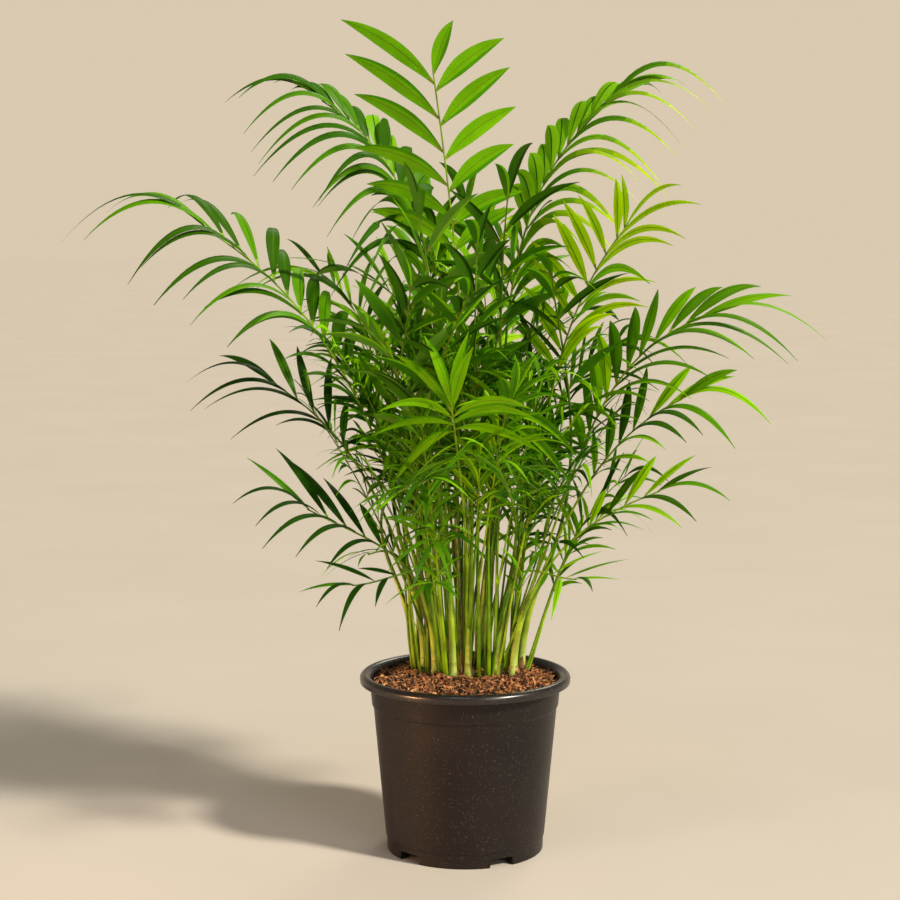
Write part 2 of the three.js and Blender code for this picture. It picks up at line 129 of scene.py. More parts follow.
# Sizes that vary from one to the next are pairs of their middle and how far they vary
FIRST_NODE = (9, 5)
HUSK_HEIGHT = (9, 6)
HUSK_HALF_ANGLE = (50, 20)
HUSK_THICKNESS = 0.35
DEAD_STEMS = 9
DEAD_STEM_SCATTER = (0.4, 0.3)
DEAD_STEM_HEIGHT = (120, 60)
DEAD_STEM_RADII = (1.7, 0.9)
DEAD_STEM_LEAN = 0.2
DEAD_STEM_SIDES = 8

# How the fronds sit on the canes
FRONDS_PER_CANE = 4
CROWDING = 11
CLUMP_HEIGHT = 70
CLUMP_REACH = 60

# Ribs: a frond's stalk and midrib in one
RIB_RADIUS = 2.1
RIB_TIP_RADIUS = 0.9
RIB_RINGS = 11
RIB_INSET = 1.7
ROOT_PULL = 0.36
TIP_PULL = 0.36
BOWS = (0, 7, -7, 14, -14, 21, -21, 28, -28)
RIB_PROBE_STEPS = 200
CANE_PROBE_STEPS = 30
RIB_STEPS = 48
RIB_SIDES = 8
RIB_FLATNESS = 0.86
# The shown rib is this share as thick as the rod at its foot, and this radius at its tip
STALK_SHARE = 0.94
FINE_TIP_RADIUS = 0.75
# The sheaths at the stalks' feet: how far they reach down the canes by turns and how much further
# their tails run, how high they close, and half the angle that they clasp below and above
SHEATHS = (16, 33, 50, 67)
SHEATH_TAIL = 8
SHEATH_TOP = (9, 5)
SHEATH_HALF_ANGLES = (62, 100)
SHEATH_THICKNESS = 0.4

# Leaflets
LEAF_LIFT = 0.18
TIP_MARGIN = 4
LEAF_BOW = 0.14
LEAF_THICKNESS = 0.34
LEAF_FOLD = 12
LEAF_GROOVE = 0.1
THINNEST_HALF = 0.28
OUTER_LEAF_STEPS = 16
INNER_LEAF_STEPS = 11
# A leaflet is a standing one when its side of the rib points up by more than this
STANDING = 0.2
# How far chance moves a leaflet's length, spread, lift, sag and twist
SWAYS = (0.1, 11, 0.22, 0.12, 34)
# How much brighter standing leaflets are picked, as painted light let through, and where a pick
# is a bright or a deep one, partly by chance and partly as painted lit and shaded leaflets
STANDING_PAINTED_LIGHT = 0.4
LIT_PICK_ABOVE = 0.5
SHADE_PICK_BELOW = -0.4
# A leaflet's cross-section: places across its upper side, in half widths, with the midrib strip
# between the middle two, and across its under side
FULL_SECTION = ((-1, -0.55, -0.1, 0.1, 0.55, 1), (0.55, 0.08, -0.08, -0.55))
PLAIN_SECTION = ((-1, -0.08, 0.08, 1), (0.4, -0.4))
# The paints of a leaf piece by place; bright and deep are partly painted lit and shaded leaflets
MIDDLE, LIGHTER_TONE_AND_LIT, DARKER_TONE_AND_SHADE, UNDER, MIDRIB_AND_FOLD_SHADE, CALLUS, FIRST_TIP = range(7)
# How far each band towards a leaflet's tip is turned to the tip colour
TIP_SHARES = (0.3, 0.55, 0.8, 1)

# How a frond is dressed: the step between leaflets; the widths of the hanging and the standing row;
# the spread of the lowest and the last leaflets from the rib, how late they turn in to the tip, and
# how much wider the standing row spreads; how level the blades are; the rise of each row, and the sag
# of the lowest and the last leaflets, in their own lengths; the lengths of those two to the rest; how
# alike the rows are at the tip; how loosely they are set; where the last pair stands; by how much of
# a step one row is ahead; how far the shades are moved to bright, or to deep below 0, partly as
# painted light and shade; whether the hanging row turns bright to its tips; and whether the frond is
# one of the outline's, with the fuller section
USUAL_LOOK = dict(
    step=17, width=8, width_up=12, spread=38, spread_tip=18, turn_in=4, skew=0, level=0.6, arch=0.4,
    arch_up=0.3, sag=0.16, sag_tip=0.36, base_share=0.55, tip_share=0.86, even_tip=0.9, loose=0.35,
    last_pair=1, lead=0.35, shift=0, tipped=False, outer=True,
)


def look_of(**changes):
    return SimpleNamespace(**{**USUAL_LOOK, **changes})


# The fronds that give the plant its outline: name, tone, the midrib's end, its slope there, the
# turn of the frond's face, its longest leaflet, the part of that on the row that is turned up,
# the part of the rod that is stalk, and its look
OUTER_FRONDS = [
    ("left_long", "fresh", (-246, -60, 617), 31, -42, 144, 0.46, 0.36, look_of(
        step=19, width=10, width_up=19, spread=48, spread_tip=14, skew=10, level=0.45, arch=0.26,
        arch_up=0.6, sag=0.12, sag_tip=0.66, tip_share=1.1, shift=-1.2)),
    ("left_high", "blue", (-140, 20, 741), 32, -48, 144, 0.46, 0.5, look_of(
        step=14, width=9, width_up=18, spread_tip=10, level=0.4, arch=0.3, arch_up=0.4, sag=0.8,
        sag_tip=0.56, base_share=1.2, tip_share=0.8, even_tip=0.5, shift=-0.5)),
    ("top_front", "lime", (-31, -80, 763), 72, 8, 114, 0.74, 0.68, look_of(
        step=30, width=16, width_up=16, spread=58, spread_tip=24, turn_in=60, level=0, arch=0.2,
        arch_up=0.2, sag=0.14, sag_tip=0, base_share=0.9, tip_share=0.64, even_tip=0, loose=0.2,
        last_pair=0.95, lead=-0.2, shift=-1.2)),
    ("right_high", "blue", (143, 40, 741), 38, 46, 150, 0.44, 0.5, look_of(
        step=15, width=9, width_up=17, spread=34, spread_tip=10, level=0.4, arch=0.24, sag=0.7,
        sag_tip=0.66, base_share=0.9, tip_share=1.08, even_tip=0.5, shift=0.8, tipped=True)),
    ("right_lime", "lime", (151, -70, 620), 46, 70, 152, 0.6, 0.56, look_of(
        width=9, width_up=13, spread=56, spread_tip=32, skew=14, level=0.3, arch=0.2, arch_up=0.04,
        sag=0.14, sag_tip=0.2, base_share=0.8, tip_share=0.72, even_tip=0, shift=1.4)),
    ("right_arching", "yellow", (226, -30, 531), 20, 48, 134, 0.58, 0.42, look_of(
        step=18, width=9, width_up=15, spread_tip=10, arch=0.24, sag=0.22, sag_tip=0.46,
        tip_share=1.04, even_tip=0.6, shift=-0.8)),
    ("right_low", "fresh", (206, -60, 456), 26, 52, 98, 0.78, 0.5, look_of(
        width=9, width_up=13, spread_tip=14, arch=0.24, arch_up=0.1, sag_tip=0.46, tip_share=1,
        even_tip=0.6)),
    ("right_lower", "fresh", (188, -40, 365), 22, 40, 82, 0.84, 0.5, look_of(
        width_up=11, spread_tip=14, arch=0.24, sag_tip=0.34, tip_share=0.96)),
    ("right_small", "fresh", (106, -70, 284), 10, 25, 70, 1, 0.62, look_of(
        step=13, width=6.5, width_up=7.5, spread=50, arch=0.2, sag=0, sag_tip=0.2)),
    ("left_dark", "dark", (-190, 50, 460), 30, -46, 112, 0.84, 0.6, look_of(
        width=8.5, width_up=10, spread=42, sag=0.24, sag_tip=0.4, shift=-1.4)),
    ("left_low", "dark", (-154, -30, 346), 30, -42, 110, 0.9, 0.46, look_of(
        width=8.5, width_up=13, spread=40, sag=0.24, sag_tip=0.3, shift=-1.4)),
    ("left_small", "dark", (-109, -70, 278), 5, -25, 66, 1, 0.62, look_of(
        step=13, width=6.5, width_up=7, spread=46, sag=0.1, sag_tip=0.3, shift=-1.4)),
    ("front_small", "blue", (-34, -95, 283), 5, 0, 48, 1, 0.74, look_of(
        step=12, width=7, width_up=7, spread=60, level=0, arch=0.2, arch_up=0.2, sag=0.3,
        sag_tip=0.5)),
    ("front_young", "lime", (-14, -130, 458), 50, 0, 96, 1, 0.86, look_of(
        step=7, width=11, width_up=11, spread=104, spread_tip=14, turn_in=0.9, level=0, arch=0.2,
        arch_up=0.2, sag=0.5, sag_tip=0, base_share=0.8, tip_share=0.74, loose=0.7, shift=-1.2)),
    ("front_right", "fresh", (42, -120, 462), 45, 0, 92, 1, 0.84, look_of(
        step=7.5, width=10.5, width_up=10.5, spread=104, spread_tip=12, turn_in=1, level=0, arch=0.2,
        arch_up=0.2, sag=0.9, sag_tip=0, base_share=1, tip_share=0.7, loose=0.7, shift=1.4)),
]

# Tiers of fronds that fill the crown all round: name, count, first bearing, reach to the sides
# and to the front and back, height, slope, longest leaflet and the part that is stalk
TIERS = [
    ("top", 8, 35, (66, 165), 628, 54, 90, 0.6),
    ("upper", 9, 80, (105, 245), 548, 28, 88, 0.5),
    ("lower", 8, 10, (112, 215), 415, 14, 80, 0.5),
    ("bottom", 4, 60, (92, 145), 300, 0, 60, 0.56),
]
TIER_TONES = ("fresh", "dark", "fresh", "blue", "dark")
# How far each differs in reach, height, slope, turn of its face and leaflets, and each one's wobble
TIER_SPREADS = ((0.1, 1), (26, 2), (8, 3), (26, 4), (0.08, 5))
GOLDEN_ANGLE = 137.508

# Thin shoots that rise from the soil between the canes into the middle of the crown, told like tiers
SHOOTS = [
    ("tall", 4, 20, (40, 56), 590, 74, 80, 0.64),
    ("middle", 18, 75, (84, 110), 496, 64, 74, 0.58),
    ("wide", 15, 10, (140, 130), 472, 46, 80, 0.54),
    ("short", 18, 140, (90, 100), 396, 44, 56, 0.66),
    ("low", 9, 60, (78, 84), 350, 52, 56, 0.58),
]
SHOOT_TONES = ("fresh", "dark", "yellow", "fresh", "dark", "blue", "fresh")
SHOOT_SPREADS = ((0.16, 51), (34, 53), (8, 54), (30, 55), (0.12, 56))

# Shoots with a place of their own: name, tone, foot, the midrib's end, its slope there, the turn of
# the frond's face, its longest leaflet, and the part that is stalk
PLACED_SHOOTS = [
    ("right_foot", "fresh", (58, 8), (160, 0, 376), 40, 34, 76, 0.5),
    ("right_splay", "yellow", (62, 20), (148, 70, 330), 30, 20, 70, 0.44),
    ("right_middle", "fresh", (44, 26), (150, 20, 500), 30, 44, 96, 0.4),
    ("right_inner", "yellow", (30, -12), (118, -60, 452), 44, 40, 90, 0.42),
    ("left_inner", "fresh", (-52, 18), (-142, 60, 566), 34, -40, 104, 0.4),
    ("left_middle", "fresh", (-44, 8), (-124, -40, 500), 46, -44, 92, 0.42),
]
SHOOT_RADIUS = 1.9
SHOOT_TIP_RADIUS = 0.5
SHOOT_DEPTH = 3
SHOOT_BOW = 12
SHOOT_CLEARANCE = 8
SHOOT_FEET = (52, 34)
SHOOT_SCATTER = (0.62, 0.36)

# The looks of the tiers and the shoots: broad leaflets in the upper ones, fine ones in the rest, whose
# shades are moved a little to deep as painted shade inside the crown
BROAD_LOOK = look_of(
    step=35, width=10.5, width_up=13, spread=46, turn_in=2.5, level=0.3, arch=0.14, arch_up=0.14,
    sag=0.1, sag_tip=0.3, base_share=0.8, loose=1, outer=False)
FINE_LOOK = look_of(
    step=13, width=5, width_up=6.5, spread=46, turn_in=2.5, level=0.3, arch=0.2, arch_up=0.2,
    sag_tip=0.5, base_share=0.6, loose=1, shift=-0.25, outer=False)
BROAD_TIERS = ("top", "upper", "tall")

# The colours of each tone, as displayed red, green and blue from 0 to 255: a leaflet's upper side in
# its middle, bright and deep shades, which are partly painted lit and shaded copies, its under side,
# its midrib, partly darkened as painted shade of the fold, and the stalk
TONES = {
    "lime": ((140, 200, 2), (196, 236, 10), (92, 166, 2), (132, 196, 10), (112, 164, 2), (116, 152, 14)),
    "yellow": ((124, 180, 2), (168, 216, 8), (86, 138, 2), (114, 174, 12), (92, 142, 2), (140, 176, 14)),
    "fresh": ((98, 156, 2), (150, 206, 6), (56, 100, 2), (92, 154, 14), (60, 108, 2), (118, 158, 12)),
    # The blue tone's bluish cast is partly the leaves' own colour and partly a painted sheen of the sky
    "blue": ((86, 142, 12), (132, 190, 14), (58, 108, 8), (98, 154, 44), (50, 96, 6), (104, 146, 20)),
    "dark": ((80, 140, 2), (132, 192, 8), (38, 80, 2), (68, 126, 14), (34, 72, 2), (94, 132, 10)),
}
TIP_COLOUR = (184, 208, 20)
# The light and the dark colour of each kind of husk and of coir
HUSK_COLOURS = {
    "husk_tan": ((196, 160, 110), (132, 96, 58)),
    "husk_brown": ((132, 90, 54), (72, 44, 26)),
    "husk_pink": ((190, 140, 116), (128, 82, 62)),
    "stem_dry": ((84, 66, 34), (44, 34, 18)),
}
COIR_COLOURS = {
    "coir_orange": ((186, 120, 68), (126, 74, 36)),
    "coir_brown": ((128, 78, 42), (70, 40, 21)),
    # The dark coir is partly its own dark pieces and partly painted shade of the gaps
    "coir_dark_and_gap_shade": ((62, 38, 22), (28, 17, 10)),
    # The tan coir is partly its own pale pieces and partly painted highlights
    "coir_tan_and_highlight": ((206, 148, 94), (140, 88, 48)),
}

# Lights in metres: name, kind, spot, target, size in degrees for a sun and in metres for a lamp,
# power, colour, and how wide a lamp's beam is if it is narrowed
LIGHTS = [
    ("key", "SUN", (1.7, -1.2, 1.7), (0, 0, 0), 7, 5.4, (1.0, 0.93, 0.78)),
    ("back", "SUN", (0.7, 1.6, 1.5), (0, 0, 0), 20, 0.8, (1.0, 0.94, 0.78)),
    ("front", "AREA", (1.5, -2.3, 0.9), (0, 0, 0.4), 1.0, 16, (1.0, 0.95, 0.84)),
    ("sky", "AREA", (-0.2, -1.1, 2.2), (0, 0, 0.2), 0.6, 9, (0.6, 0.78, 1.0)),
    ("warm", "AREA", (-1.2, -0.8, 0.12), (0, 0, 0.1), 0.3, 2.7, (1.0, 0.5, 0.22), 60),
]
# The room's light near the horizon and overhead: the sine of the height, and the linear colour
ROOM_LIGHT = ((0.14, (0.697, 0.588, 0.4355, 1.0)), (0.4, (0.22, 0.2, 0.17, 1.0)))
FLOOR_HALF = 30000

UP = np.array([0.0, 0.0, 1.0])
EAST = np.array([1.0, 0.0, 0.0])
chance = np.random.default_rng(SEED)


def mix(start, end, part):
    return start + (end - start) * part


def smoothstep(value, low, high):
    part = np.clip((value - low) / (high - low), 0, 1)
    return part * part * (3 - 2 * part)


def unit(vector):
    return vector / np.linalg.norm(vector, axis=-1, keepdims=True)


# Two directions square to a third, the first one as near as can be to the one given
def square_to(ahead, level):
    across = unit(level - ahead * np.sum(level * ahead, axis=-1, keepdims=True))
    return across, np.cross(ahead, across)


# Turns two directions that are square to each other by an angle in radians
def turned(one, other, angle):
    return one * np.cos(angle) + other * np.sin(angle), other * np.cos(angle) - one * np.sin(angle)


# A steady wobble between -1 and 1, the same for the same count
def wobble(count, salt):
    return math.sin(count * 12.9898 + salt * 4.1414)


def varied(size, count, salt):
    middle, spread = size
    return middle + spread * wobble(count, salt)


# Rings of corners round a row of centres, with a radius for each ring or for each corner
def rod_rings(centres, across, face, radii, sides):
    turn = (np.arange(sides) * 2 * math.pi / sides)[:, None]
    spokes = across[:, None, :] * np.cos(turn) + face[:, None, :] * np.sin(turn)
    return centres[:, None, :] + spokes * radii.reshape(len(centres), -1, 1)


# Gathers one mesh: corners, UVs, and faces of three and four with their materials
class Gather:
    def __init__(self):
        self.corners = []
        self.uvs = []
        self.faces = {3: [], 4: []}
        self.paints = {3: [], 4: []}
        self.count = 0

    def add(self, corners, faces, paints, uvs=None):
        corners = np.asarray(corners, float).reshape(-1, 3)
        first = self.count
        self.corners.append(corners)
        self.uvs.append(np.zeros((len(corners), 2)) if uvs is None else np.reshape(uvs, (-1, 2)))
        self.count += len(corners)
        self.more(faces, paints, first)
        return first

    # More faces over corners that are already there, counted from the first one
    def more(self, faces, paints, first):
        faces = np.asarray(faces)
        size = faces.shape[1]
        self.faces[size].append(faces + first)
        self.paints[size].append(np.broadcast_to(paints, (len(faces),)))

    # A closed tube of rings, shaped (rings, corners, 3), whose corners run anticlockwise seen from
    # the last ring. The paints give one material for each quad.
    def tube(self, rings, paints=0, uvs=None):
        steps, sides = rings.shape[:2]
        paints = np.broadcast_to(paints, (steps - 1, sides))
        step, side = np.mgrid[:steps - 1, :sides]
        following = (side + 1) % sides
        low, high = step * sides, (step + 1) * sides
        quads = np.stack([low + side, low + following, high + following, high + side], axis=-1)
        first = self.add(rings, quads.reshape(-1, 4), paints.ravel(), uvs)
        fan = np.array([(0, corner + 1, corner) for corner in range(1, sides - 1)])
        self.more(fan, paints[0, 0], first)
        self.more(fan[:, ::-1] + (steps - 1) * sides, paints[-1, 0], first)

    # Edges that turn by more than the sharp angle stay sharp
    def piece(self, name, materials, sharp_angle=50):
        corners = np.concatenate(self.corners) * METRE
        uvs = np.concatenate(self.uvs)
        groups = [size for size in (3, 4) if self.faces[size]]
        faces = [np.concatenate(self.faces[size]) for size in groups]
        paints = np.concatenate([np.concatenate(self.paints[size]) for size in groups])
        loops = np.concatenate([group.ravel() for group in faces])
        sizes = np.concatenate([np.full(len(group), group.shape[1]) for group in faces])
        starts = np.concatenate([[0], np.cumsum(sizes)[:-1]])
        mesh = bpy.data.meshes.new(name)
        mesh.vertices.add(len(corners))
        mesh.vertices.foreach_set("co", corners.astype(np.float32).ravel())
        mesh.loops.add(len(loops))
        mesh.loops.foreach_set("vertex_index", loops.astype(np.int32))
        mesh.polygons.add(len(sizes))
        mesh.polygons.foreach_set("loop_start", starts.astype(np.int32))
        mesh.polygons.foreach_set("material_index", paints.astype(np.int32))
        layer = mesh.uv_layers.new(name="UVMap")
        layer.data.foreach_set("uv", uvs[loops].astype(np.float32).ravel())
        for material in materials:
            mesh.materials.append(material)
        mesh.update(calc_edges=True)
        mesh.validate()
        mesh.shade_smooth()
        mesh.set_sharp_from_angle(angle=math.radians(sharp_angle))
        return add_object(name, mesh)


def add_object(name, data):
    thing = bpy.data.objects.new(name, data)
    bpy.context.scene.collection.objects.link(thing)
    return thing


# Puts a finished piece on the plant and hides the nodes that it stands for; the slot is not used
def settle(piece, slot, *nodes):
    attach(piece, "root")
    if nodes:
        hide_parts(*nodes)


# Materials

# A displayed colour from 0 to 255 as some share of the shader's linear colour
def linear(colour, share=1.0):
    shown = [channel / 255 for channel in colour]
    lit = [c / 12.92 if c <= 0.04045 else ((c + 0.055) / 1.055) ** 2.4 for c in shown]
    return tuple(min(1.0, share * c) for c in lit) + (1.0,)


# The shader nodes of a material or of the room
class Shading:
    def __init__(self, owner):
        owner.use_nodes = True
        self.tree = owner.node_tree
        self.nodes = self.tree.nodes

    # Links another node's socket to an input, or sets the input to a plain value
    def feed(self, entry, value):
        if isinstance(value, bpy.types.NodeSocket):
            self.tree.links.new(value, entry)
        else:
            entry.default_value = value

    # A new node. The settings are its properties or its inputs, with _ for a space.
    def node(self, kind, **settings):
        node = self.nodes.new(kind)
        for key, value in settings.items():
            if hasattr(node, key):
                setattr(node, key, value)
            else:
                self.feed(node.inputs[key.replace("_", " ")], value)
        return node

    # A colour that runs through stops of (position, colour) by a factor
    def ramp(self, factor, *stops):
        node = self.node("ShaderNodeValToRGB", Fac=factor)
        for element, (position, colour) in zip(node.color_ramp.elements, stops):
            element.position = position
            element.color = colour if len(colour) == 4 else linear(colour)
        return node.outputs["Color"]


class Paint(Shading):
    def __init__(self, name):
        self.material = bpy.data.materials.new(name)
        super().__init__(self.material)
        self.shader = self.nodes["Principled BSDF"]
        self.place = self.node("ShaderNodeTexCoord").outputs["Object"]

    def set(self, **settings):
        for key, value in settings.items():
            self.feed(self.shader.inputs[key.replace("_", " ")], value)

    def noise(self, scale, detail=3.0):
        return self.node("ShaderNodeTexNoise", Vector=self.place, Scale=scale, Detail=detail).outputs["Fac"]

    # Two colours mottled by noise, with a soft edge between the low and the high value of it
    def mottle(self, dark, light, scale, detail=3.0, low=0.3, high=0.7):
        return self.ramp(self.noise(scale, detail), (low, dark), (high, light))

    def blend(self, factor, one, other, kind="MIX"):
        node = self.node("ShaderNodeMix", data_type="RGBA", blend_type=kind, Factor=factor)
        self.feed(node.inputs[6], one)
        self.feed(node.inputs[7], other)
        return node.outputs[2]

    def calculate(self, operation, one, other):
        node = self.node("ShaderNodeMath", operation=operation)
        self.feed(node.inputs[0], one)
        self.feed(node.inputs[1], other)
        return node.outputs["Value"]

    def bump(self, scale, detail, strength, distance):
        node = self.node("ShaderNodeBump", Height=self.noise(scale, detail), Strength=strength,
                         Distance=distance)
        self.set(Normal=node.outputs["Normal"])


# A leaf's skin: a waxy sheen, fine veins along the blade and light let through from behind
def leaf_paint(name, colour, roughness=0.42, glow=0.4):
    paint = Paint(name)
    tint = paint.mottle(linear(colour, 0.8), linear(colour), 45.0)
    blade = paint.node("ShaderNodeUVMap", uv_map="UVMap").outputs["UV"]
    veins = paint.node("ShaderNodeTexWave", bands_direction="Y", Vector=blade, Scale=190.0)
    stripes = paint.ramp(veins.outputs["Fac"], (0.0, (0.84, 0.84, 0.84, 1.0)), (0.5, (1.0, 1.0, 1.0, 1.0)))
    striped = paint.blend(1.0, tint, stripes, "MULTIPLY")
    paint.set(Base_Color=striped, Roughness=roughness, Specular_IOR_Level=0.08)
    through = paint.node("ShaderNodeBsdfTranslucent", Color=linear(colour, 1.5))
    mixer = paint.node("ShaderNodeMixShader", Fac=glow)
    paint.feed(mixer.inputs[1], paint.shader.outputs["BSDF"])
    paint.feed(mixer.inputs[2], through.outputs["BSDF"])
    paint.feed(paint.nodes["Material Output"].inputs["Surface"], mixer.outputs["Shader"])
    return paint.material


def stalk_paint(name, colour):
    paint = Paint(name)
    tint = paint.mottle(linear(colour, 0.5), linear(colour), 60.0, 4.0, 0.35, 0.65)
    paint.set(Base_Color=tint, Roughness=0.42, Specular_IOR_Level=0.2)
    paint.bump(900.0, 2.0, 0.2, 0.0003)
    return paint.material


# Canes are green with a pale bloom that thickens towards the soil
def cane_paint():
    paint = Paint("cane_skin")
    green = paint.mottle((84, 110, 4), (168, 190, 32), 35.0)
    bloom = paint.mottle((170, 186, 92), (214, 220, 146), 260.0, 5.0, low=0.35)
    height = paint.node("ShaderNodeSeparateXYZ", Vector=paint.place).outputs["Z"]
    low, high = BLOOM_HEIGHTS
    thickness = paint.node("ShaderNodeMapRange", Value=height, From_Min=low * METRE,
                           From_Max=high * METRE, To_Min=0.62, To_Max=0.06).outputs["Result"]
    patches = paint.calculate("MULTIPLY", thickness, paint.noise(120.0, 4.0))
    tint = paint.blend(paint.calculate("MULTIPLY", patches, 1.9), green, bloom)
    paint.set(Base_Color=tint, Roughness=0.4, Specular_IOR_Level=0.25)
    paint.bump(700.0, 4.0, 0.25, 0.0003)
    return paint.material


def papery_paint(name, light, dark, roughness=0.8):
    paint = Paint(name)
    paint.set(Base_Color=paint.mottle(dark, light, 140.0, 6.0, 0.32, 0.68), Roughness=roughness)
    paint.bump(480.0, 5.0, 0.5, 0.0006)
    return paint.material


def soil_paint(name, light, dark):
    paint = Paint(name)
    paint.set(Base_Color=paint.mottle(dark, light, 300.0, 5.0), Roughness=0.9)
    paint.bump(1400.0, 4.0, 0.6, 0.0006)
    return paint.material


# Dark satin plastic with pale dust: a speck in the middle of a few cells
def pot_paint(name, specular, smoothest, roughest):
    paint = Paint(name)
    plastic = paint.mottle((20, 16, 15), (27, 21, 19), 14.0, 4.0, low=0.35)
    specks = paint.node("ShaderNodeTexVoronoi", Vector=paint.place, Scale=900.0)
    cell = paint.node("ShaderNodeSeparateColor", Color=specks.outputs["Color"])
    near = paint.calculate("LESS_THAN", specks.outputs["Distance"], 0.21)
    few = paint.calculate("GREATER_THAN", cell.outputs["Red"], 0.87)
    strength = paint.calculate("MULTIPLY", paint.calculate("MULTIPLY", near, few), 0.4)
    dust = paint.ramp(cell.outputs["Green"], (0.0, (156, 144, 130)), (1.0, (208, 202, 194)))
    gloss = paint.node("ShaderNodeMapRange", Value=paint.noise(30.0, 5.0), To_Min=smoothest,
                       To_Max=roughest)
    paint.set(Base_Color=paint.blend(strength, plastic, dust), Specular_IOR_Level=specular,
              Roughness=gloss.outputs["Result"])
    paint.bump(1500.0, 2.0, 0.12, 0.0002)
    return paint.material


# The axes of the canes and the fronds

class Curve:
    def __init__(self, *points):
        self.points = np.array(points, float)

    # Draws the points of the curve together until two are left, which lie on its tangent
    def tangent(self, part):
        points = list(self.points)
        while len(points) > 2:
            points = [mix(one, other, part) for one, other in zip(points, points[1:])]
        return points

    def at(self, part):
        part = np.asarray(part, float)[..., None]
        return mix(*self.tangent(part), part)

    def direction(self, part):
        start, end = self.tangent(np.asarray(part, float)[..., None])
        return unit(end - start)

    def length(self):
        spots = self.at(np.linspace(0, 1, 201))
        return float(np.linalg.norm(np.diff(spots, axis=0), axis=1).sum())

    # Points on straight lines from ring to ring, as the rod runs
    def on_rings(self, rings, part):
        steps = rings - 1
        step = np.minimum(steps - 1, np.floor(part * steps))
        share = (part * steps - step)[:, None]
        return mix(self.at(step / steps), self.at((step + 1) / steps), share)


# A stem that starts straight up
def upright_curve(foot, height, lean):
    return Curve(foot, foot + UP * height / 2, foot + UP * height + lean)


def cane_curve(cane):
    x, y, height = cane
    foot = np.array([x, y, POT_HEIGHT - SOIL_DROP + GAP], float)
    lean = np.array([x - CLUMP_MIDDLE[0], y - CLUMP_MIDDLE[1], 0]) * CANE_LEAN * height
    return upright_curve(foot, height, lean)


@dataclass
class Frond:
    name: str
    tone: str
    tip: tuple
    rise: float
    roll: float
    leaf: float
    upper: float
    bare: float
    look: SimpleNamespace
    tip_radius: float = FINE_TIP_RADIUS
    sheath: float = 0

    # Draws its axis from its root to its tip, bowed aside by some millimetres
    def bend(self, bow):
        line = self.tip - self.root
        reach = float(np.linalg.norm(line))
        out = unit(line * (1, 1, 0))
        rise = math.radians(self.rise)
        ending = out * math.cos(rise) + UP * math.sin(rise)
        self.level = np.cross(UP, out)
        self.curve = Curve(
            self.root,
            self.root + self.ahead * ROOT_PULL * reach,
            self.tip - ending * TIP_PULL * reach + self.level * bow,
            self.tip,
        )

    # The rod's places and directions, and its two side directions turned by the frond's roll
    def frame_at(self, part):
        part = np.atleast_1d(part)
        ahead = self.curve.direction(part)
        roll = np.radians(self.roll) * smoothstep(part, 0, self.bare)[:, None]
        across, face = turned(*square_to(ahead, self.level), roll)
        return self.curve.at(part), ahead, across, face


# Rows that go round the clump by the golden angle, each member a little different from the last:
# gives its name, its bearing as a direction, its tip, slope, turn, longest leaflet and stalk part
def go_round(rows, spreads):
    count = 0
    for name, number, start, reach, height, rise, leaf, bare in rows:
        for turn in range(1, number + 1):
            bearing = math.radians(start + turn * GOLDEN_ANGLE)
            away = np.array([math.cos(bearing), math.sin(bearing)])
            reach_by, height_by, rise_by, roll_by, leaf_by = (
                spread * wobble(count, salt) for spread, salt in spreads)
            tip = (*(CLUMP_MIDDLE + away * reach * (1 + reach_by)), height + height_by)
            yield f"{name}_{turn}", away, tip, rise + rise_by, roll_by, leaf * (1 + leaf_by), bare
            count += 1


def tier_look(name):
    return BROAD_LOOK if name.split("_")[0] in BROAD_TIERS else FINE_LOOK


# Every frond that has a solid: the outer ones first, then the tiers
def list_fronds():
    fronds = [Frond(*row) for row in OUTER_FRONDS]
    for count, row in enumerate(go_round(TIERS, TIER_SPREADS)):
        name, _, tip, rise, roll, leaf, bare = row
        tone = TIER_TONES[count % len(TIER_TONES)]
        fronds.append(Frond(name, tone, tip, rise, roll, leaf, 1, bare, tier_look(name)))
    return fronds


# A shoot is a frond whose stalk starts at the soil
def make_shoot(count, name, tone, foot, tip, rise, roll, leaf, bare):
    shoot = Frond(name, tone, tip, rise, roll, leaf, 1, bare, tier_look(name))
    shoot.root = np.array([*foot, POT_HEIGHT - SOIL_DROP - SHOOT_DEPTH])
    shoot.ahead = unit((shoot.tip - shoot.root) * (0.7, 0.7, 1))
    shoot.radius = SHOOT_RADIUS * (1 + 0.2 * wobble(count, 58))
    shoot.tip_radius = SHOOT_TIP_RADIUS
    shoot.bend(SHOOT_BOW * wobble(count, 59))
    return shoot


# The shoots stand clear of the canes
def list_shoots():
    shoots = []
    for name, away, *shape in go_round(SHOOTS, SHOOT_SPREADS):
        count = len(shoots)
        foot = CLUMP_MIDDLE + away * SHOOT_FEET * varied(SHOOT_SCATTER, count, 52)
        for cane in CANES:
            gone = foot - cane[:2]
            distance = np.linalg.norm(gone)
            if distance < SHOOT_CLEARANCE:
                foot = cane[:2] + gone / distance * SHOOT_CLEARANCE
        tone = SHOOT_TONES[count % len(SHOOT_TONES)]
        shoots.append(make_shoot(count, name, tone, foot, *shape))
    for row in PLACED_SHOOTS:
        shoots.append(make_shoot(len(shoots), *row))
    return shoots


def lean_of(start, end):
    return unit(end - start)[:2]


# Each frond takes the free cane nearest to where its lean points
def seat_fronds(fronds):
    load = [[] for _ in CANES]
    middle = np.array([*CLUMP_MIDDLE, POT_HEIGHT + CLUMP_HEIGHT])
    for frond in fronds:
        aim = lean_of(middle, frond.tip) * CLUMP_REACH + CLUMP_MIDDLE
        distances = [
            math.inf if len(seated) >= FRONDS_PER_CANE
            else math.dist(aim, cane[:2]) + CROWDING * len(seated)
            for cane, seated in zip(CANES, load)
        ]
        frond.cane = int(np.argmin(distances))
        load[frond.cane].append(frond)
    return load


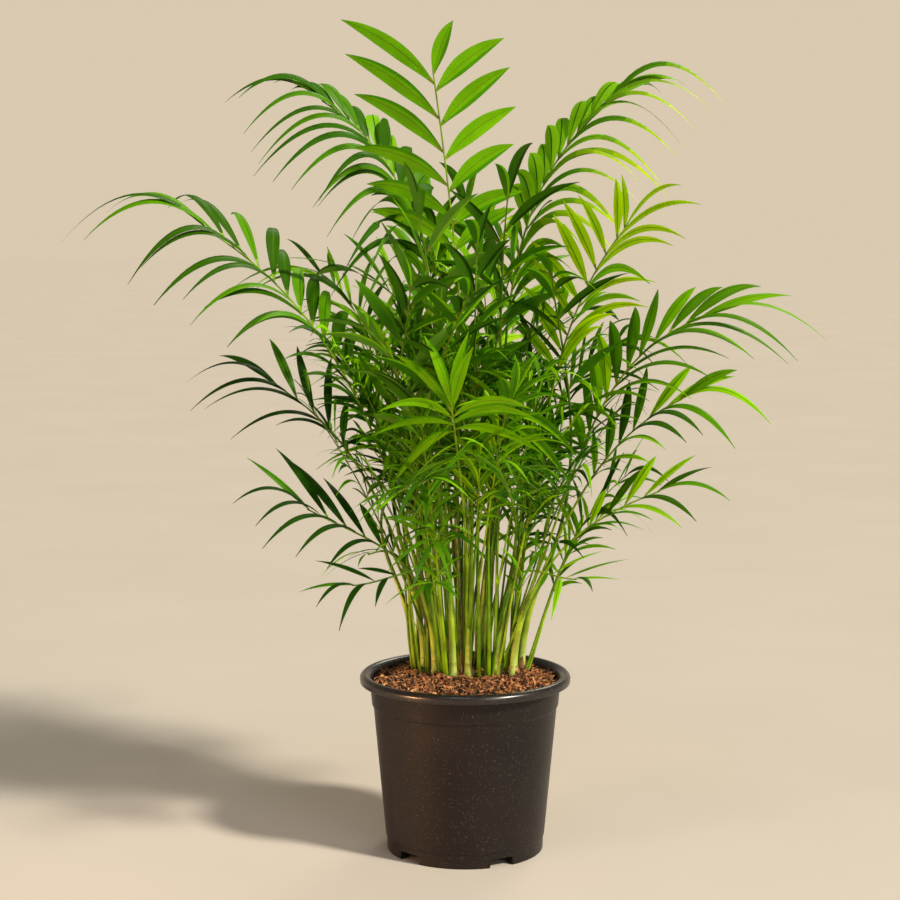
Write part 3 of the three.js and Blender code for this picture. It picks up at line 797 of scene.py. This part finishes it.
# The stalks on one cane stand side by side on its top, each on the side that it bends away to
def root_fronds(cane, fronds):
    curve = cane_curve(cane)
    ahead = curve.direction(1.0)
    across, face = square_to(ahead, EAST)
    middle = curve.at(1.0) + ahead * GAP
    mean = sum(lean_of(middle, frond.tip) for frond in fronds) / len(fronds)
    for frond in fronds:
        side = lean_of(middle, frond.tip) - mean
        frond.side = math.atan2(side[1], side[0]) % (2 * math.pi)
    in_order = sorted(fronds, key=lambda frond: frond.side)
    share = 2 * math.pi / len(fronds)
    eastward = sum(math.cos(frond.side - slot * share) for slot, frond in enumerate(in_order))
    northward = sum(math.sin(frond.side - slot * share) for slot, frond in enumerate(in_order))
    start = math.atan2(northward, eastward)
    ring_radius = CANE_RADIUS - RIB_INSET if len(fronds) > 1 else 0
    room = ring_radius * math.sin(math.pi / len(fronds)) - GAP / 2
    for slot, frond in enumerate(in_order):
        turn = start + slot * share
        frond.outward = across * math.cos(turn) + face * math.sin(turn)
        frond.root = middle + frond.outward * ring_radius
        frond.ahead = ahead
        frond.radius = min(RIB_RADIUS, room) if len(fronds) > 1 else RIB_RADIUS


def probe(curve, rings, steps, start_radius, end_radius):
    part = np.arange(steps + 1) / steps
    return curve.on_rings(rings, part), mix(start_radius, end_radius, part)


def probes_meet(one, other):
    away = one[0][:, None, :] - other[0][None, :, :]
    room = one[1][:, None] + other[1][None, :] + 0.6 * GAP
    return bool((np.einsum("ijk,ijk->ij", away, away) < room * room).any())


# Each frond is bowed a little further aside until its rod is clear of the canes and the others
def clear_fronds(fronds):
    cane_probes = [
        probe(cane_curve(cane), CANE_RINGS, CANE_PROBE_STEPS, CANE_RADIUS * CANE_FLARE, CANE_RADIUS)
        for cane in CANES
    ]
    before = []
    for frond in fronds:
        others = [points for cane, points in enumerate(cane_probes) if cane != frond.cane] + before
        for bow in BOWS:
            frond.bend(bow)
            points = probe(frond.curve, RIB_RINGS, RIB_PROBE_STEPS, frond.radius, RIB_TIP_RADIUS)
            if not any(probes_meet(points, other) for other in others):
                break
        before.append(points)


# Shapes on the fronds

# A stalk with a sheath runs on below its root, close along the cane
def add_rib(gather, frond):
    part = np.linspace(0, 1, RIB_STEPS) ** 1.2
    centres, _, across, face = frond.frame_at(part)
    radii = mix(frond.radius * STALK_SHARE, frond.tip_radius, part ** 0.8)
    if frond.sheath:
        down = np.linspace(frond.sheath, 3, 9)[:, None]
        inward = frond.outward * RIB_INSET * (down / frond.sheath) ** 2
        centres = np.concatenate([frond.root - frond.ahead * down - inward, centres])
        across, face, radii = (
            np.concatenate([np.repeat(value[:1], len(down), axis=0), value])
            for value in (across, face, radii))
    gather.tube(rod_rings(centres, across, face * RIB_FLATNESS, radii, RIB_SIDES))


# How wide a leaflet is along its length, from 0 at its root to 1 at its tip. A slim one, whose
# slimness is 1, runs out in a long thin tip.
def leaf_outline(part, slimness):
    widest = mix(0.46, 0.38, slimness)
    rise = np.clip(part / widest, 0, 1)
    fall = np.clip((part - widest) / (1 - widest), 0, 1)
    swelling = 0.1 + 0.9 * np.sin(rise * math.pi / 2) ** 1.1
    return np.where(part < widest, swelling, (1 - fall) ** mix(0.95, 1.1, slimness) * (1 + fall))


# The paint of each quad of a leaflet, by the parts of its length at which its rings stand
def leaflet_paints(frond, along, side, standing, part, section):
    top, under = (len(places) for places in section)
    pick = wobble(frond.phase * 3 + 11 * along, side)
    # Painted light and shade: standing leaflets and the frond's own setting push the pick to bright or deep
    pick = pick + (STANDING_PAINTED_LIGHT if standing else 0) + frond.look.shift
    shade = LIGHTER_TONE_AND_LIT if pick > LIT_PICK_ABOVE else (DARKER_TONE_AND_SHADE if pick < SHADE_PICK_BELOW else MIDDLE)
    paints = np.full((len(part) - 1, top + under), shade)
    # The midrib strip, darker partly as the rib's own colour and partly as painted shade of the fold
    paints[:, top // 2 - 1] = MIDRIB_AND_FOLD_SHADE
    paints[:, top:] = UNDER
    if frond.look.outer:
        paints[:, top + 1] = MIDRIB_AND_FOLD_SHADE
    paints[0, :] = CALLUS
    if frond.look.tipped and not standing:
        bright_part = 0.6 + 0.2 * wobble(frond.phase * 5 + 13 * along, side + 1)
        on_tip = (part[1:, 0] - 1 + bright_part) / bright_part
        for band in range(len(TIP_SHARES)):
            paints[on_tip > band / len(TIP_SHARES), :] = FIRST_TIP + band
    return paints


# One leaflet: along runs from 0 at the lowest leaflet to 1 at the rib's tip, side is 1 or -1
def add_leaflet(gather, frond, along, side):
    look = frond.look
    place = mix(frond.bare, 1 - TIP_MARGIN / frond.length, along)
    centre, ahead, across, face = (value[0] for value in frond.frame_at(place))
    sway = look.loose * np.clip(chance.normal(size=5), -2, 2) * SWAYS
    standing = side * across[2] > STANDING
    turned_in = along ** look.turn_in
    nearing = float(smoothstep(along, 0.5, 1))
    evened = nearing * look.even_tip

    # Its size
    row = mix(frond.upper, 1, evened) if side * across[2] > 0 else 1
    share = mix(look.base_share, 1, float(smoothstep(along, -0.1, 0.45)))
    share = share * mix(1, look.tip_share, turned_in)
    length = frond.leaf * row * share * (1 + sway[0])
    breadth = mix(look.width_up, look.width, evened) if standing else look.width
    breadth = breadth * mix(0.6, 1, share)

    # Its spine: out from the rib, up and over, and a little in to the tip
    spread = mix(look.spread, look.spread_tip, turned_in) + look.skew * (1 if standing else -1)
    spread = math.radians(spread + sway[1])
    outward = across * side
    direction = unit(
        ahead * math.cos(spread) + outward * math.sin(spread) + face * (LEAF_LIFT + sway[2]))
    sag = (mix(look.sag, look.sag_tip, along) + sway[3]) * length
    sag = sag * (mix(0.5, 1, nearing) if standing else 1)
    arch = (look.arch_up * (1 - 0.8 * along ** 2) if standing else look.arch) * length
    bow = outward * LEAF_BOW * length
    steps = OUTER_LEAF_STEPS if look.outer else INNER_LEAF_STEPS
    part = (np.linspace(0, 1, steps + 1) ** 0.94)[:, None]
    spine = (centre + direction * length * part + UP * (arch * part - (sag + arch) * part * part)
             - bow * (part - part * part))
    heading = unit(direction * length + UP * (arch - 2 * (sag + arch) * part) - bow * (1 - 2 * part))

    # Which way its blade faces along the spine
    margin = unit(np.cross(face, direction))
    flat = np.cross(UP, heading)
    flat = flat * np.sign(flat @ margin)[:, None]
    turn_level = (0 if standing else look.level) * smoothstep(part, -0.2, 0.4)
    margin, normal = square_to(heading, unit(mix(margin, flat, turn_level)))
    margin, normal = turned(margin, normal, math.radians(sway[4]) * part)

    # Its folded blade
    slimness = float(np.clip((length / breadth - 6) / 7, 0, 1))
    half = np.maximum(leaf_outline(part, slimness) * breadth / 2, THINNEST_HALF)
    fold = math.tan(math.radians(LEAF_FOLD * (1 + 0.4 * wobble(frond.phase + 5 * along, side + 3))))
    section = FULL_SECTION if look.outer else PLAIN_SECTION
    top = len(section[0])
    offsets = half * (section[0] + section[1])
    lifts = -np.abs(offsets) * fold
    lifts[:, top // 2 - 1:top // 2 + 1] -= LEAF_GROOVE * np.minimum(1, half)
    lifts[:, top:] -= LEAF_THICKNESS * np.clip(half / 2, 0.3, 1)
    rings = (spine[:, None, :] + margin[:, None, :] * offsets[:, :, None]
             + normal[:, None, :] * lifts[:, :, None])
    run = np.broadcast_to(part * length, offsets.shape)
    uvs = np.stack([run, offsets], axis=-1) * METRE
    gather.tube(rings, leaflet_paints(frond, along, side, standing, part, section), uvs)


# Leaflets in pairs, one of each pair a little ahead, and a single one at the tip if the last pair
# stands below it
def add_leaflets(gather, frond):
    look = frond.look
    pairs = max(3, round(frond.length * (1 - frond.bare) / look.step))
    for pair in range(pairs):
        for side in (-1, 1):
            ahead = pair + (look.lead if side > 0 else 0)
            along = look.last_pair * float(np.clip(ahead / (pairs - 1), 0, 1))
            add_leaflet(gather, frond, along, side)
    if look.last_pair < 1:
        add_leaflet(gather, frond, 1.0, 1)


# A strip of a tube that clasps a stalk or a cane: centres, radii and half angles along it, with
# its middle on the side that outward points to
def add_clasp(gather, centres, ahead, outward, radii, half_angles, thickness, paint):
    across, face = square_to(ahead, outward)
    angles = (np.radians(half_angles)[:, None] * np.linspace(-1, 1, 11))[:, :, None]
    spokes = across[:, None, :] * np.cos(angles) + face[:, None, :] * np.sin(angles)
    outer = centres[:, None, :] + spokes * radii[:, None, None]
    inner = outer - spokes * thickness
    gather.tube(np.concatenate([outer, inner[:, ::-1]], axis=1), paint)


# The sheath at a stalk's foot clasps the cane and closes in to the stalk
def add_sheath(gather, frond, paint):
    start, end = -frond.sheath - SHEATH_TAIL, varied(SHEATH_TOP, frond.phase, 21)
    away = np.linspace(start, end, 20)
    part = np.clip(away, 0, None) / frond.length
    on_stalk = frond.curve.at(part) + frond.ahead * np.minimum(away, 0)[:, None]
    on_cane = frond.root - frond.outward * (CANE_RADIUS - RIB_INSET) + frond.ahead * away[:, None]
    closing = smoothstep(away, start + 6, end)
    centres = mix(on_cane, on_stalk, closing[:, None])
    radii = mix(cane_radius(0.7) + 0.5, frond.radius * STALK_SHARE + 0.12, closing)
    ahead = unit(mix(frond.ahead, frond.curve.direction(part), closing[:, None]))
    half_angles = mix(*SHEATH_HALF_ANGLES, closing) * smoothstep(away, start - 8, start + 20)
    add_clasp(gather, centres, ahead, frond.outward, radii, half_angles, SHEATH_THICKNESS, paint)


# The pot

def turned_rings(profile, sides):
    centres = profile[:, 1:] * UP
    across = np.broadcast_to(EAST, centres.shape)
    return rod_rings(centres, across, np.cross(UP, across), profile[:, 0], sides)


# Rounds each corner of a profile of (radius, height, rounding) with short steps
def rounded(profile, steps=5):
    points = []
    for number, (radius, height, rounding) in enumerate(profile):
        here = np.array([radius, height], float)
        if rounding == 0:
            points.append(here)
            continue
        before = np.array(profile[number - 1][:2], float) - here
        after = np.array(profile[number + 1][:2], float) - here
        room = min(rounding, 0.45 * np.linalg.norm(before), 0.45 * np.linalg.norm(after))
        bend = Curve(here + unit(before) * room, here, here + unit(after) * room)
        points.extend(bend.at(np.linspace(0, 1, steps + 1)))
    return np.array(points)


def make_pot():
    profile = rounded([
        (AXIS_RADIUS, UNDERSIDE_RISE, 0),
        (BASE_RADIUS - FOOT_RING - 3, UNDERSIDE_RISE, 2),
        (BASE_RADIUS - FOOT_RING, 0, 1.5),
        (BASE_RADIUS, 0, 1.2),
        (BASE_RADIUS + 0.4, FOOT_HEIGHT, 0.5),
        (BASE_RADIUS + 1.4, FOOT_HEIGHT + 0.8, 0.5),
        (BASE_RADIUS + FOOT_STEP, BODY_FOOT, 1.5),
        (BODY_TOP, SHOULDER, 0.6),
        (BODY_TOP + COLLAR_STEP, SHOULDER + COLLAR_STEP, 0.8),
        (COLLAR_TOP, LIP_FOOT + 0.6, 1.2),
        (COLLAR_TOP + 4, LIP_FOOT + 1.2, 0.8),
        (RIM_RADIUS - 1.6, LIP_FOOT, 0.5),
        (RIM_RADIUS - 0.4, LIP_FOOT + 0.5, 0.6),
        (RIM_RADIUS, POT_HEIGHT - 3.2, 3.2),
        (RIM_RADIUS - 3.4, POT_HEIGHT, 2.6),
        (COLLAR_TOP + 2.4, POT_HEIGHT - 0.5, 1.8),
        (COLLAR_TOP - WALL, POT_HEIGHT - 4.5, 3),
        (COLLAR_TOP - WALL, LIP_FOOT, 1),
        (BODY_TOP - WALL, SHOULDER, 2),
        (BASE_RADIUS + FOOT_STEP - WALL, BODY_FOOT, 2),
        (BASE_RADIUS - 1, FLOOR_HEIGHT, 1),
        (AXIS_RADIUS, FLOOR_HEIGHT, 0),
    ])
    gather = Gather()
    on_lip = (profile[:-1, 0] > COLLAR_TOP + 1) & (profile[:-1, 1] > LIP_FOOT)
    gather.tube(turned_rings(profile, POT_SIDES), on_lip[:, None].astype(int))
    wall = pot_paint("pot_plastic", 0.22, 0.36, 0.46)
    lip = pot_paint("pot_lip", 0.5, 0.24, 0.32)
    pot = gather.piece("pot_shell", [wall, lip], POT_SHARP_ANGLE)
    for number in range(NOTCH_COUNT):
        cut_notch(pot, math.radians(FIRST_NOTCH + number * 360 / NOTCH_COUNT))
    pot.data.shade_smooth()
    pot.data.set_sharp_from_angle(angle=math.radians(POT_SHARP_ANGLE))
    return pot


# A drainage notch with rounded upper corners, cut up into the foot
def cut_notch(pot, bearing):
    corner = np.radians(np.linspace(0, 90, 7))
    half, bend, below = NOTCH_WIDTH / 2, NOTCH_CORNER, -4
    right = np.stack([np.cos(corner), np.sin(corner)], axis=-1) * bend
    right = right + (half - bend, NOTCH_HEIGHT - bend)
    left = right[::-1] * (-1, 1)
    outline = np.vstack([[(half, below)], right, left, [(-half, below)]])
    rings = []
    for away in (BASE_RADIUS - NOTCH_DEPTH, BASE_RADIUS + NOTCH_DEPTH):
        x = away * math.cos(bearing) - outline[:, 0] * math.sin(bearing)
        y = away * math.sin(bearing) + outline[:, 0] * math.cos(bearing)
        rings.append(np.stack([x, y, outline[:, 1]], axis=-1))
    gather = Gather()
    gather.tube(np.array(rings))
    cutter = gather.piece("notch_cutter", [])
    modifier = pot.modifiers.new("notch", "BOOLEAN")
    modifier.operation = "DIFFERENCE"
    modifier.solver = "EXACT"
    modifier.object = cutter
    applied = bpy.data.meshes.new_from_object(pot.evaluated_get(bpy.context.evaluated_depsgraph_get()))
    pot.modifiers.clear()
    pot.data = applied
    bpy.data.objects.remove(cutter)


# The soil

def soil_height(radius):
    slope = np.clip((radius - SOIL_SHOULDER) / (SOIL_REACH - SOIL_SHOULDER), 0, 1)
    return POT_HEIGHT - mix(SOIL_DROP, SOIL_EDGE_DROP, slope)


# Low hills and hollows
def ground_noise(x, y):
    return (1.6 * np.sin(0.11 * x + 1.3) * np.cos(0.13 * y) + 1.1 * np.sin(0.31 * x + 0.27 * y)
            + 0.5 * np.sin(0.73 * x - 0.61 * y + 2))


# The rough bed under the loose pieces fills the pot down to its floor
def make_soil_bed():
    radii = np.linspace(0.5, SOIL_REACH, SOIL_RINGS)[::-1]
    top = turned_rings(np.stack([radii, soil_height(radii) - BED_DEPTH], axis=-1), SOIL_SIDES)
    rough = chance.uniform(-BED_ROUGHNESS, BED_ROUGHNESS, top.shape[:2])[::-1]
    top[:, :, 2] += ground_noise(top[:, :, 0], top[:, :, 1]) + rough
    under = np.array([
        (0.5, FLOOR_HEIGHT + GAP),
        (BASE_RADIUS - 1 - GAP, FLOOR_HEIGHT + GAP),
        (BASE_RADIUS + FOOT_STEP - WALL - GAP, BODY_FOOT + GAP),
        (BODY_TOP - WALL - GAP, SHOULDER),
    ])
    gather = Gather()
    gather.tube(np.concatenate([turned_rings(under, SOIL_SIDES), top]))
    # Its near black is painted shade, seen in the gaps between the loose pieces
    return gather.piece("soil_bed", [soil_paint("soil_gap_shade", (60, 34, 18), (20, 11, 6))], 80)


# Places spread evenly over the soil, some way above or below its surface
def soil_spots(count, lowest, highest):
    radius = (SOIL_REACH - 2.5) * np.sqrt(chance.uniform(0, 1, count))
    turn = chance.uniform(0, 2 * math.pi, count)
    x, y = radius * np.cos(turn), radius * np.sin(turn)
    z = soil_height(radius) + ground_noise(x, y) + chance.uniform(lowest, highest, count)
    return np.stack([x, y, z], axis=-1)


def random_frames(count):
    first = unit(chance.normal(size=(count, 3)))
    second = unit(np.cross(first, unit(chance.normal(size=(count, 3)))))
    return first, second, np.cross(first, second)


# A solid of twelve corners and twenty faces, each of three corners that are neighbours
def make_lump():
    golden = (1 + math.sqrt(5)) / 2
    corners = unit(np.array([
        np.roll((short, long, 0), turn)
        for turn in range(3) for long in (golden, -golden) for short in (-1, 1)
    ]))
    faces = []
    for face in combinations(range(len(corners)), 3):
        one, two, three = corners[list(face)]
        if max(math.dist(one, two), math.dist(two, three), math.dist(three, one)) < 1.1:
            outward = np.dot(np.cross(two - one, three - one), one) > 0
            faces.append(face if outward else face[::-1])
    return corners, faces


# Crumbs: jittered lumps
def add_crumbs(gather, count):
    corners, faces = make_lump()
    spots = soil_spots(count, *CRUMB_HEIGHTS)
    sizes = chance.uniform(*CRUMB_SIZES, (count, 3)) * chance.uniform(*JITTER, (count, 1))
    turns = np.stack(random_frames(count), axis=1)
    for spot, size, turn in zip(spots, sizes, turns):
        lump = corners * chance.uniform(*JITTER, (len(corners), 1)) * size
        gather.add(lump @ turn + spot, faces, int(chance.integers(0, len(COIR_COLOURS))))


# Flakes and threads: flat or thin strips, curled along their length
def add_curls(gather, count, lengths, widths, steps, curl, heights):
    spots = soil_spots(count, *heights)
    first, second, _ = random_frames(count)
    first[:, 2] *= 0.45
    first = unit(first)
    second, third = square_to(first, second)
    part = np.linspace(-0.5, 0.5, steps + 1)[:, None]
    taper = 0.35 + 0.65 * np.sqrt(np.clip(1 - (2 * part) ** 2, 0, 1))
    for number in range(count):
        length = chance.uniform(*lengths)
        width = chance.uniform(*widths)
        bend = chance.uniform(-curl, curl) / length
        turn = part * bend * length
        radius = 1 / bend if abs(bend) > 1e-4 else 1e4
        ahead = np.sin(turn) * radius
        lift = (1 - np.cos(turn)) * radius
        spine = spots[number] + ahead * first[number] + lift * third[number]
        out = third[number] * np.cos(turn) - first[number] * np.sin(turn)
        wide = second[number] * width * taper / 2
        thin = out * min(STRIP_THICKNESS, width / 2) * taper
        rings = np.stack([spine - wide, spine - thin, spine + wide, spine + thin], axis=1)
        gather.tube(rings, int(chance.integers(0, len(COIR_COLOURS))))


def make_soil():
    settle(make_soil_bed(), "soil", "soil")
    paints = [soil_paint(name, light, dark) for name, (light, dark) in COIR_COLOURS.items()]
    crumbs = Gather()
    add_crumbs(crumbs, CRUMBS)
    settle(crumbs.piece("soil_crumbs", paints, 35), "soil")
    flakes = Gather()
    for strips in (FLAKES, THREADS):
        add_curls(flakes, *strips)
    settle(flakes.piece("soil_flakes", paints, 60), "soil")


# The canes

# A cane's radius by the part of its height: swollen at the foot, slimmer above
def cane_radius(part):
    swelling = FOOT_SWELLING * (1 - smoothstep(part, 0, SWOLLEN_PART))
    return CANE_RADIUS * (mix(*CANE_SHARES, part) + swelling)


# Each cane swells a little at its nodes, with a scar ring round each of the lowest
def make_cane(number, cane, paints):
    curve = cane_curve(cane)
    height = cane[2]
    part = np.linspace(0, 1, int(height / CANE_STEP) + 1)
    rise = part * height
    spacing = NODE_SPACING * (1 + 0.25 * wobble(number, 31))
    first = varied(FIRST_NODE, number, 32)
    away = rise - first - spacing * np.round((rise - first) / spacing)
    ridge = 0.14 * np.exp(-(away / 0.9) ** 2) + 0.12 * np.exp(-(np.clip(away, 0, None) / 5.0) ** 2)
    radius = cane_radius(part) * (1 + 0.05 * wobble(number, 33)) + ridge
    turn = np.arange(CANE_SIDES) * 2 * math.pi / CANE_SIDES
    uneven = 1 + 0.025 * np.sin(2 * turn + 3 * part[:, None] + number)
    across, face = square_to(curve.direction(part), EAST)
    rings = rod_rings(curve.at(part), across, face, radius[:, None] * uneven, CANE_SIDES)
    scarred = (np.abs(away[:-1]) < SCAR_HALF_WIDTH) & (rise[:-1] < SCARS_BELOW)
    gather = Gather()
    gather.tube(rings, scarred[:, None].astype(int))
    settle(gather.piece(f"cane_skin_{number + 1}", paints, 60), "cane", f"cane_{number + 1}")


# A dry papery husk round the foot of a cane
def add_husk(gather, number, cane):
    curve = cane_curve(cane)
    turn = -math.pi / 2 + 2.2 * wobble(number, 41)
    outward = np.array([math.cos(turn), math.sin(turn), 0.0])
    rise = np.linspace(-1, varied(HUSK_HEIGHT, number, 42), 16)
    part = np.clip(rise / cane[2], 0, 1)
    share = (rise - rise[0]) / (rise[-1] - rise[0])
    radii = cane_radius(part) + 0.5 + 1.2 * share ** 4
    ragged = 1 + 0.12 * np.sin(rise * 1.7 + number)
    half_angles = varied(HUSK_HALF_ANGLE, number, 43) * (1 - share ** 2.2) * ragged + 4
    add_clasp(gather, curve.at(part), curve.direction(part), outward, radii, half_angles,
              HUSK_THICKNESS, number % 3)


# A thin dry stem that stands among the canes
def add_dead_stem(gather, number):
    bearing = math.radians(70 + number * GOLDEN_ANGLE)
    away = np.array([math.cos(bearing), math.sin(bearing), 0])
    foot = np.array([*CLUMP_MIDDLE, POT_HEIGHT - SOIL_DROP - SHOOT_DEPTH])
    foot = foot + away * (*SHOOT_FEET, 0) * varied(DEAD_STEM_SCATTER, number, 61)
    height = varied(DEAD_STEM_HEIGHT, number, 62)
    curve = upright_curve(foot, height, away * DEAD_STEM_LEAN * height)
    part = np.linspace(0, 1, 24)
    across, face = square_to(curve.direction(part), EAST)
    radius = mix(*DEAD_STEM_RADII, part) * (1 + 0.08 * np.sin(part * 40 + number))
    gather.tube(rod_rings(curve.at(part), across, face, radius, DEAD_STEM_SIDES), number % 2 * 3)


def make_canes():
    scar = papery_paint("cane_scar", (156, 164, 66), (122, 126, 40), 0.6)
    skin = cane_paint()
    husks = Gather()
    for number, cane in enumerate(CANES):
        make_cane(number, cane, [skin, scar])
        add_husk(husks, number, cane)
    for number in range(DEAD_STEMS):
        add_dead_stem(husks, number)
    paints = [papery_paint(name, light, dark) for name, (light, dark) in HUSK_COLOURS.items()]
    settle(husks.piece("cane_husks", paints, 60), "cane")


# The crown

# The leaves and the stalks of all the fronds and shoots of one tone
def make_tone(tone, fronds, shoots):
    leaves = Gather()
    stalks = Gather()
    for frond in fronds + shoots:
        add_leaflets(leaves, frond)
        add_rib(stalks, frond)
        if frond.sheath:
            add_sheath(stalks, frond, 1)
    *uppers, under_colour, midrib_and_fold_shade_colour, stalk_colour = TONES[tone]
    # The middle colour and its bright and deep copies, which are partly painted lit and shaded leaflets
    paints = [leaf_paint(f"leaf_{tone}_{number + 1}", colour) for number, colour in enumerate(uppers)]
    paints.append(leaf_paint(f"leaf_{tone}_under", under_colour, roughness=0.5))
    # The midrib, darker partly as the rib's own colour and partly as painted shade of the fold
    paints.append(leaf_paint(f"leaf_{tone}_midrib", midrib_and_fold_shade_colour, glow=0.2))
    stalk = stalk_paint(f"stalk_{tone}", stalk_colour)
    paints.append(stalk)
    if any(frond.look.tipped for frond in fronds):
        for band, share in enumerate(TIP_SHARES):
            colour = [mix(one, other, share) for one, other in zip(uppers[0], TIP_COLOUR)]
            paints.append(leaf_paint(f"leaf_{tone}_tip_{band + 1}", colour))
    piece = leaves.piece(f"leaves_{tone}", paints)
    settle(piece, f"frond_{tone}", *(f"frond_{frond.name}" for frond in fronds))
    sheath = stalk_paint(f"sheath_{tone}", [mix(channel, 150, 0.1) for channel in stalk_colour])
    settle(stalks.piece(f"stalks_{tone}", [stalk, sheath], 60), f"frond_{tone}")


def make_crown():
    fronds = list_fronds()
    for cane, seated in zip(CANES, seat_fronds(fronds)):
        root_fronds(cane, seated)
    clear_fronds(fronds)
    shoots = list_shoots()
    for number, frond in enumerate(fronds):
        frond.sheath = SHEATHS[number % len(SHEATHS)]
    for number, frond in enumerate(fronds + shoots):
        frond.phase = number
        frond.length = frond.curve.length()
    for tone in TONES:
        family, thin = ([frond for frond in group if frond.tone == tone] for group in (fronds, shoots))
        make_tone(tone, family, thin)


# Floor, light and camera

def make_floor():
    gather = Gather()
    corners = [(x * FLOOR_HALF, y * FLOOR_HALF, 0) for x, y in ((-1, -1), (1, -1), (1, 1), (-1, 1))]
    gather.add(corners, [(0, 1, 2, 3)], 0)
    paint = Paint("floor_plaster")
    paint.set(Base_Color=paint.mottle((175, 167, 157), (179, 171, 161), 3.0), Roughness=0.9)
    floor = gather.piece("floor", [paint.material])


def add_light(name, kind, spot, target, size, power, colour, beam=180):
    light = bpy.data.lights.new(name, kind)
    if kind == "SUN":
        light.angle = math.radians(size)
    else:
        light.size = size
        light.spread = math.radians(beam)
    light.energy = power
    light.color = colour
    lamp = add_object(name, light)
    lamp.location = spot
    ray = np.subtract(target, spot)
    yaw = math.atan2(ray[1], ray[0]) - math.pi / 2
    pitch = math.atan2(ray[2], math.hypot(ray[0], ray[1]))
    lamp.rotation_euler = (math.pi / 2 + pitch, 0, yaw)


def make_light():
    world = bpy.data.worlds.new("soft_room")
    bpy.context.scene.world = world
    room = Shading(world)
    way = room.node("ShaderNodeTexCoord").outputs["Generated"]
    height = room.node("ShaderNodeSeparateXYZ", Vector=way).outputs["Z"]
    room.feed(room.nodes["Background"].inputs["Color"], room.ramp(height, *ROOM_LIGHT))
    for light in LIGHTS:
        add_light(*light)
    bpy.context.scene.view_settings.view_transform = "Standard"


def make_camera():
    lens = bpy.data.cameras.new("camera")
    lens.sensor_width = 36
    lens.lens = CAMERA_LENS
    lens.clip_end = 100
    camera = add_object("camera", lens)
    camera.location = [METRE * value for value in CAMERA_SPOT]
    camera.rotation_euler = (math.radians(90 - CAMERA_PITCH), 0, 0)
    bpy.context.scene.camera = camera


make_camera()
make_light()
make_floor()
settle(make_pot(), "pot", "pot")
make_soil()
make_canes()
make_crown()
